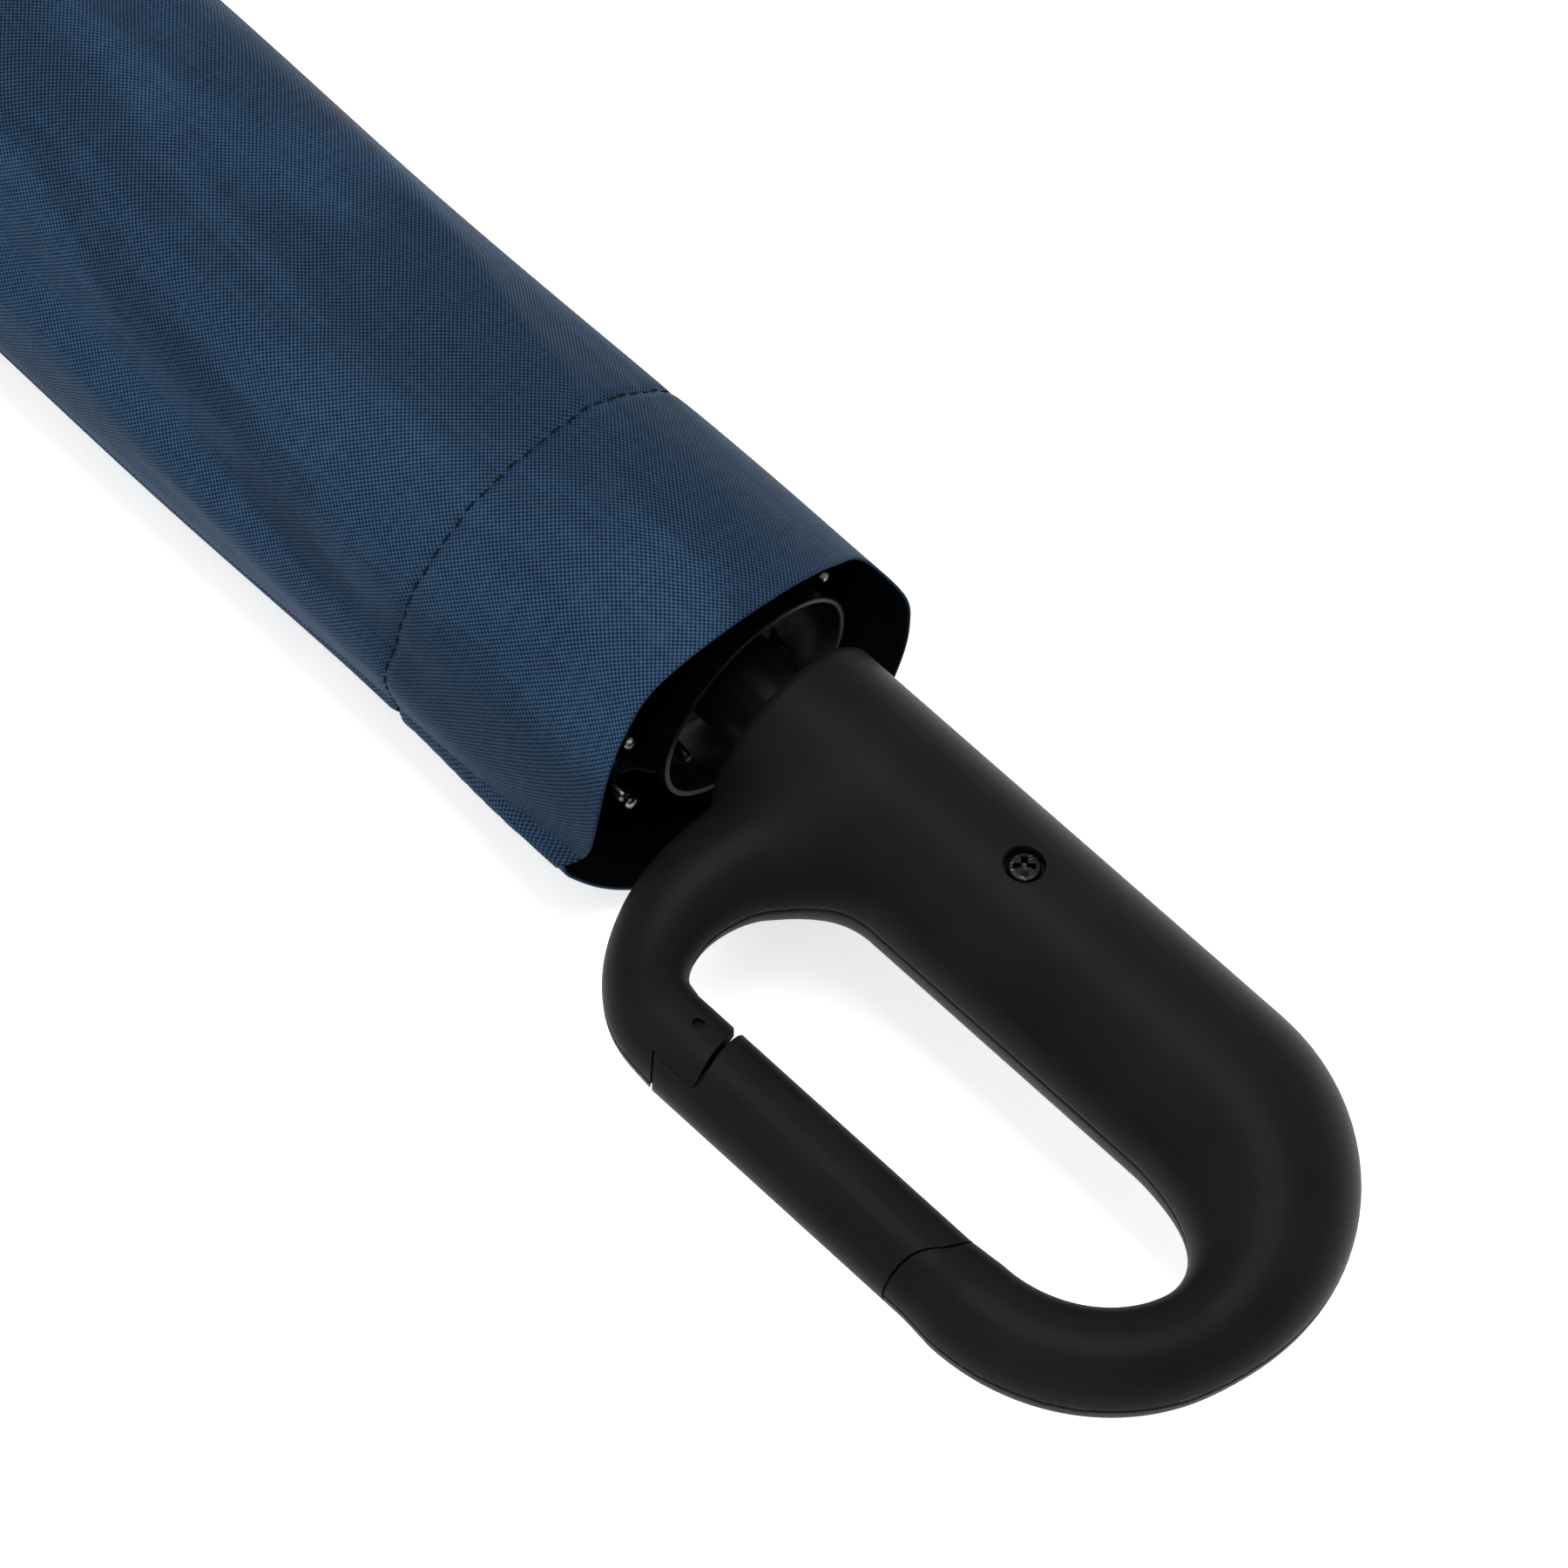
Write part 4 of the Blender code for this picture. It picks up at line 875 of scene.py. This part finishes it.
def sleeve_point(angle, run):
    """Place in mm, about the stem's rim, of the cloth at an angle and a run from the mouth.

    The run goes down the sleeve and then in across its round base.
    """
    lip = around(angle, MOUTH_LIP)
    radius_mouth = around(angle, MOUTH_RADIUS)
    radius_body = around(angle, BODY_RADIUS)
    straight = MOUTH_X - BACK_X - BASE_CORNER
    down = np.minimum(run, straight)
    x = MOUTH_X - down + (lip - MOUTH_X) * np.exp(-(down / 16) ** 2)
    near_mouth = np.exp(-(down / 22) ** 2)
    radius = radius_body + (radius_mouth - radius_body) * near_mouth
    full = smooth_step(down / 14) * 0.75 + 0.25
    radius -= fold_depth(angle, x) * full
    hem = x - HEM_X
    pucker = 0.5 + 0.5 * np.sin(angle * 47 + 1.3 * np.sin(angle * 7))
    radius -= (0.30 + 0.20 * pucker) * np.exp(-(hem / 0.8) ** 2)
    gathers = np.sign(np.sin(angle * 23))
    radius += 0.16 * (pucker - 0.5) * np.exp(-(np.abs(hem) / 4.0) ** 2) * gathers
    radius += 0.14 / (1 + np.exp(-hem / 0.4))
    off = np.angle(np.exp(1j * (angle - seam_angle(x)))) * radius
    lap = 0.55 + 1.1 * near_mouth
    radius += lap * np.exp(-((off - 2.2) / 1.7) ** 2) - 0.45 * np.exp(-(off / 0.45) ** 2)
    around_end = np.clip((run - straight) / (BASE_CORNER * pi / 2), 0, 1)
    turn = around_end * pi / 2
    radius_end = radius - BASE_CORNER * (1 - np.cos(turn))
    x = x - BASE_CORNER * np.sin(turn)
    across = np.maximum(run - straight - BASE_CORNER * pi / 2, 0)
    radius_end = np.maximum(radius_end - across, 0)
    flat = np.clip(radius_end / 20, 0, 1)
    x += np.where(across > 0, 0.5 * flat * np.sin(angle * 24) * np.exp(-across / 4)
                  + 1.2 * (1 - flat ** 2), 0)
    seam_ring = np.exp(-((run - straight - 3) / 0.8) ** 2)
    radius_end = radius_end + 0.5 * seam_ring - 0.15 * pucker * seam_ring
    y = radius_end * np.cos(angle)
    z = radius_end * np.sin(angle)
    floor = -(SHAFT.z / MM) + CLOTH_WALL * 0.2
    z = np.where(z < floor + 1.0, floor + 1.0 * np.exp((z - floor - 1.0) / 1.0), z)
    return np.stack([x, y + AXIS_Y, z], axis=-1)


def run_rows():
    """Runs of the cloth's rows: closer together at the mouth, the hem and the base."""
    total = MOUTH_X - BACK_X - BASE_CORNER + BASE_CORNER * pi / 2 + 20.4
    weights = [(0, 0.5), (3, 1.2), (24, 1.6), (29, 0.4), (34, 0.4), (38, 1.6), (215, 2.0),
               (222, 0.9), (240, 0.9), (total, 1.8)]
    rows, run = [0.0], 0.0
    while run < total - 0.3:
        run += float(np.interp(run, [w[0] for w in weights], [w[1] for w in weights]))
        rows.append(min(run, total))
    return rows


def rolled_cloth(name, rows, columns, place, width, materials, wall):
    """Flat grid of cloth rolled into a closed tube by place(angle, run), with its own map."""
    bm = bmesh.new()
    bmesh.ops.create_grid(bm, x_segments=columns, y_segments=len(rows) - 1, size=0.5)
    layer = bm.loops.layers.uv.new("cloth")
    share = np.array([vert.co[:2] for vert in bm.verts]) + 0.5
    angle = share[:, 0] * 2 * pi
    row = np.rint(share[:, 1] * (len(rows) - 1)).astype(int)
    run = np.array(rows)[row]
    for face in bm.faces:
        for loop in face.loops:
            index = loop.vert.index
            loop[layer].uv = (share[index, 0] * width / CLOTH_UNIT, run[index] / CLOTH_UNIT)
    points = place(angle, run)
    for vert, point in zip(bm.verts, points):
        vert.co = point
    bmesh.ops.remove_doubles(bm, verts=bm.verts, dist=1e-3)
    bm.faces.ensure_lookup_table()
    face = bm.faces[len(bm.faces) // 3]
    outward = (face.calc_center_median() - Vector((0, AXIS_Y, 0))) * Vector((0, 1, 1))
    if face.normal.dot(outward) < 0:
        bmesh.ops.reverse_faces(bm, faces=bm.faces)
    piece = to_object(name, bm, materials[0], 80)
    if len(materials) > 1:
        piece.data.materials.append(materials[1])
    skin = piece.modifiers.new("Cloth wall", "SOLIDIFY")
    skin.thickness = wall * MM
    skin.offset = -1
    skin.use_rim = True
    skin.material_offset = len(materials) - 1
    skin.material_offset_rim = 0
    return piece


STITCHES = 64
STITCH_LIFT = [0.02, 0.14, 0.16, 0.14, 0.02]     # of the thread's middle above the cloth
STITCH_RADII = [0.08, 0.15, 0.16, 0.15, 0.08]


def hem_thread():
    """bmesh of the hem's row of stitches, each diving into the cloth at its ends."""
    bm = bmesh.new()
    middle = np.array([0, AXIS_Y, 0])
    for index in range(STITCHES):
        angles = np.linspace(2 * pi * (index + 0.12) / STITCHES,
                             2 * pi * (index + 0.86) / STITCHES, len(STITCH_LIFT))
        runs = np.full(len(STITCH_LIFT), MOUTH_X - HEM_X) + 0.12 * sin(index * 2.3)
        path = []
        for point, up in zip(sleeve_point(angles, runs), STITCH_LIFT):
            out = (point - middle) * (0, 1, 1)
            path.append(Vector(point + out / np.linalg.norm(out) * up))
        gather(bm, swept(path, STITCH_RADII, 6))
    return bm


def make_sleeve():
    """Sleeve of one cloth, lined side in, with its hem's stitches."""
    width = 2 * pi * SLEEVE_CUT_RADIUS
    sleeve = rolled_cloth("sleeve_cloth", run_rows(), SLEEVE_COLUMNS, sleeve_point, width,
                          [SLEEVE_CLOTH, SLEEVE_LINING], CLOTH_WALL)
    finish(sleeve, "sleeve", "sleeve_cloth", "sleeve")
    hem = finish(to_object("hem_stitches", hem_thread(), THREAD), "sleeve", "sleeve_cloth")


# Furled canopy, strap and snap --------------------------------------------------------------------

CANOPY_INNER, CANOPY_OUTER = 17.5, 19.2
CANOPY_EDGE = -14.0
PLEAT_RUN, CANOPY_RUN = 194, 210   # down the pleats, and on in to the crown


def canopy_point(angle, run):
    """Furled cloth: eight pleats wrapped one over the next, drawn in to the crown at the top."""
    x = CANOPY_EDGE - np.minimum(run, PLEAT_RUN)
    phase = np.mod(RIB_COUNT * angle / (2 * pi) + run / 240 + 0.05 * np.sin(run / 19), 1)
    lap = np.where(phase < 0.92, phase / 0.92, (1 - phase) / 0.08)
    wrinkle = 0.12 * np.sin(angle * 21 + run / 7) * np.sin(run / 13) + 0.08 * np.sin(run / 5)
    radius = CANOPY_INNER + 0.35 + (CANOPY_OUTER - CANOPY_INNER - 0.5) * lap ** 1.4 + wrinkle
    waist = np.exp(-((x + 101) / 14) ** 2)
    radius = radius - 0.25 * waist * lap
    over = np.clip(run - PLEAT_RUN, 0, None)
    bend = np.clip(over / (CANOPY_RUN - PLEAT_RUN), 0, 1)
    radius = radius * (1 - bend) + bend * 5.6 + 1.5 * np.sin(bend * pi)
    x = x - 11.6 * np.sin(bend * pi / 2)
    edge = np.exp(-run / 2.5)
    x = x + edge * 1.2 * np.sin(angle * RIB_COUNT)
    return np.stack([x, radius * np.cos(angle), radius * np.sin(angle)], axis=-1)


def make_canopy():
    """Furled canopy, the strap round it and the strap's snap."""
    rows = (list(np.linspace(0, PLEAT_RUN, 82))
            + list(np.linspace(PLEAT_RUN + 1, CANOPY_RUN, 12)))
    width = 2 * pi * 18.6
    canopy = rolled_cloth("canopy_furled", rows, 240, canopy_point, width, [CANOPY_CLOTH], 0.25)
    finish(canopy, "umbrella_top", "canopy_cloth", "canopy")

    points = [(-110, 19.55), (-110, 20.0), (-92, 20.0), (-92, 19.55)]
    bm = turned(rounded_profile(points, [0.1, 0.2, 0.2, 0.1], 3), 120)
    layer = bm.loops.layers.uv.new("cloth")
    for face in bm.faces:
        for loop in face.loops:
            x, y, z = loop.vert.co
            loop[layer].uv = ((atan2(z, y) / (2 * pi) + 0.5) * 0.41, -x / CLOTH_UNIT)
    strap = to_object("strap_band", bm, CANOPY_CLOTH)
    finish(strap, "umbrella_top", "canopy_cloth", "canopy_strap")

    dome = [(0, 5.0), (0.5, 5.0), (0.9, 4.6), (0.95, 3.9), (0.7, 3.5), (0.7, 3.0), (1.1, 2.7),
            (1.45, 1.8), (1.6, 0)]
    bm = turned([(0, 0)] + dome, 48, closed=False)
    bmesh.ops.transform(bm, verts=bm.verts, matrix=Matrix.Translation((-101, -20.3, 0))
                        @ Matrix.Rotation(-pi / 2, 4, "Z"))
    finish(to_object("snap_cap", bm, NICKEL), "umbrella_top", "snap_metal", "strap_snap")


# Finish of the nodes that keep their own shape ----------------------------------------------------

def dress_nodes():
    """Gives each carried-over node the finish of the real part."""
    # The gate pin takes the near-black rib steel, which paints in the shade at the bottom of its
    # hole.
    finishes = {"stretcher": RIB_STEEL, "top_rib": RIB_STEEL, "middle_rib": RIB_STEEL,
                "drive_spring": SPRING_STEEL, "gate_spring": SPRING_STEEL,
                "button_spring": SPRING_STEEL, "latch_plate": SPRING_STEEL,
                "gate_pin": RIB_STEEL, "top_notch": NYLON, "shaft_socket": NYLON}
    for name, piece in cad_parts.items():
        for start, material in finishes.items():
            if name.startswith(start):
                piece.data.materials.clear()
                piece.data.materials.append(material)


# Room, light and camera ---------------------------------------------------------------------------

def make_room():
    """White floor just under the part, and even light from all round."""
    bm = bmesh.new()
    bmesh.ops.create_grid(bm, x_segments=1, y_segments=1, size=4)
    floor = new_object("floor", bm)
    # Opal acrylic table lit from below: its own glow keeps shadows pale.
    material, _, _ = new_material("opal_acrylic", Roughness=0.9, Specular_IOR_Level=0.1,
                                  Base_Color=linear("#f6f6f6"), Emission_Color=linear("#ffffff"),
                                  Emission_Strength=0.5)
    floor.data.materials.append(material)
    floor.location.z = -0.2 * MM

    world = bpy.data.worlds.new("studio")
    bpy.context.scene.world = world
    world.use_nodes = True
    ground = world.node_tree.nodes["Background"]
    ground.inputs["Color"].default_value = linear("#ffffff")
    ground.inputs["Strength"].default_value = 1.0


def soft_light(name, place, aim, size, power):
    """Rectangular area light of a size in metres and a power in watts."""
    lamp = bpy.data.lights.new(name, "AREA")
    lamp.shape = "RECTANGLE"
    lamp.size, lamp.size_y = size
    lamp.energy = power
    holder = bpy.data.objects.new(name, lamp)
    bpy.context.scene.collection.objects.link(holder)
    holder.location = place
    holder.rotation_euler = (Vector(aim) - Vector(place)).to_track_quat("-Z", "Y").to_euler()


def make_lights():
    soft_light("overhead", (0.03, 0.05, 1.0), (0.03, 0, 0), (0.7, 0.5), 9)
    soft_light("side", (-0.6, -0.9, 0.7), (0.0, 0, 0.02), (0.6, 0.6), 1.5)


FRAME_WIDTH, CAMERA_DISTANCE = 195.3, 1038.0   # mm seen across at the stem's rim, and mm away
CAMERA_TURN, CAMERA_LIFT, CAMERA_ROLL = radians(41.31), radians(59.36), radians(4.4)
AIM_LEFT, AIM_DOWN = 0.65, 7.08                # from the rim to the view's centre, in mm


def make_camera():
    """Long lens, high over the gate's side and a little rolled."""
    turn, lift, roll = CAMERA_TURN, CAMERA_LIFT, CAMERA_ROLL
    back = Vector((sin(turn) * cos(lift), -cos(turn) * cos(lift), sin(lift)))
    side = Vector((cos(turn), sin(turn), 0))
    over = back.cross(side)
    right = side * cos(roll) + over * sin(roll)
    up = over * cos(roll) - side * sin(roll)
    lens = bpy.data.cameras.new("camera")
    lens.sensor_width = 36
    lens.lens = lens.sensor_width * CAMERA_DISTANCE / FRAME_WIDTH
    lens.clip_start, lens.clip_end = 0.05, 20
    camera = bpy.data.objects.new("camera", lens)
    bpy.context.scene.collection.objects.link(camera)
    aim = RIM - (right * AIM_LEFT + up * AIM_DOWN) * MM
    place = aim + back * (CAMERA_DISTANCE * MM)
    axes = Matrix((right, up, back)).transposed().to_4x4()
    camera.matrix_world = Matrix.Translation(place) @ axes
    bpy.context.scene.camera = camera


make_camera()
make_room()
make_lights()
make_handle()
make_cross_screw()
make_button()
make_shaft()
make_runner_cup()
make_cap()
make_rib_ends()
make_canopy()
make_sleeve()
dress_nodes()
bpy.context.scene.view_settings.view_transform = "Standard"
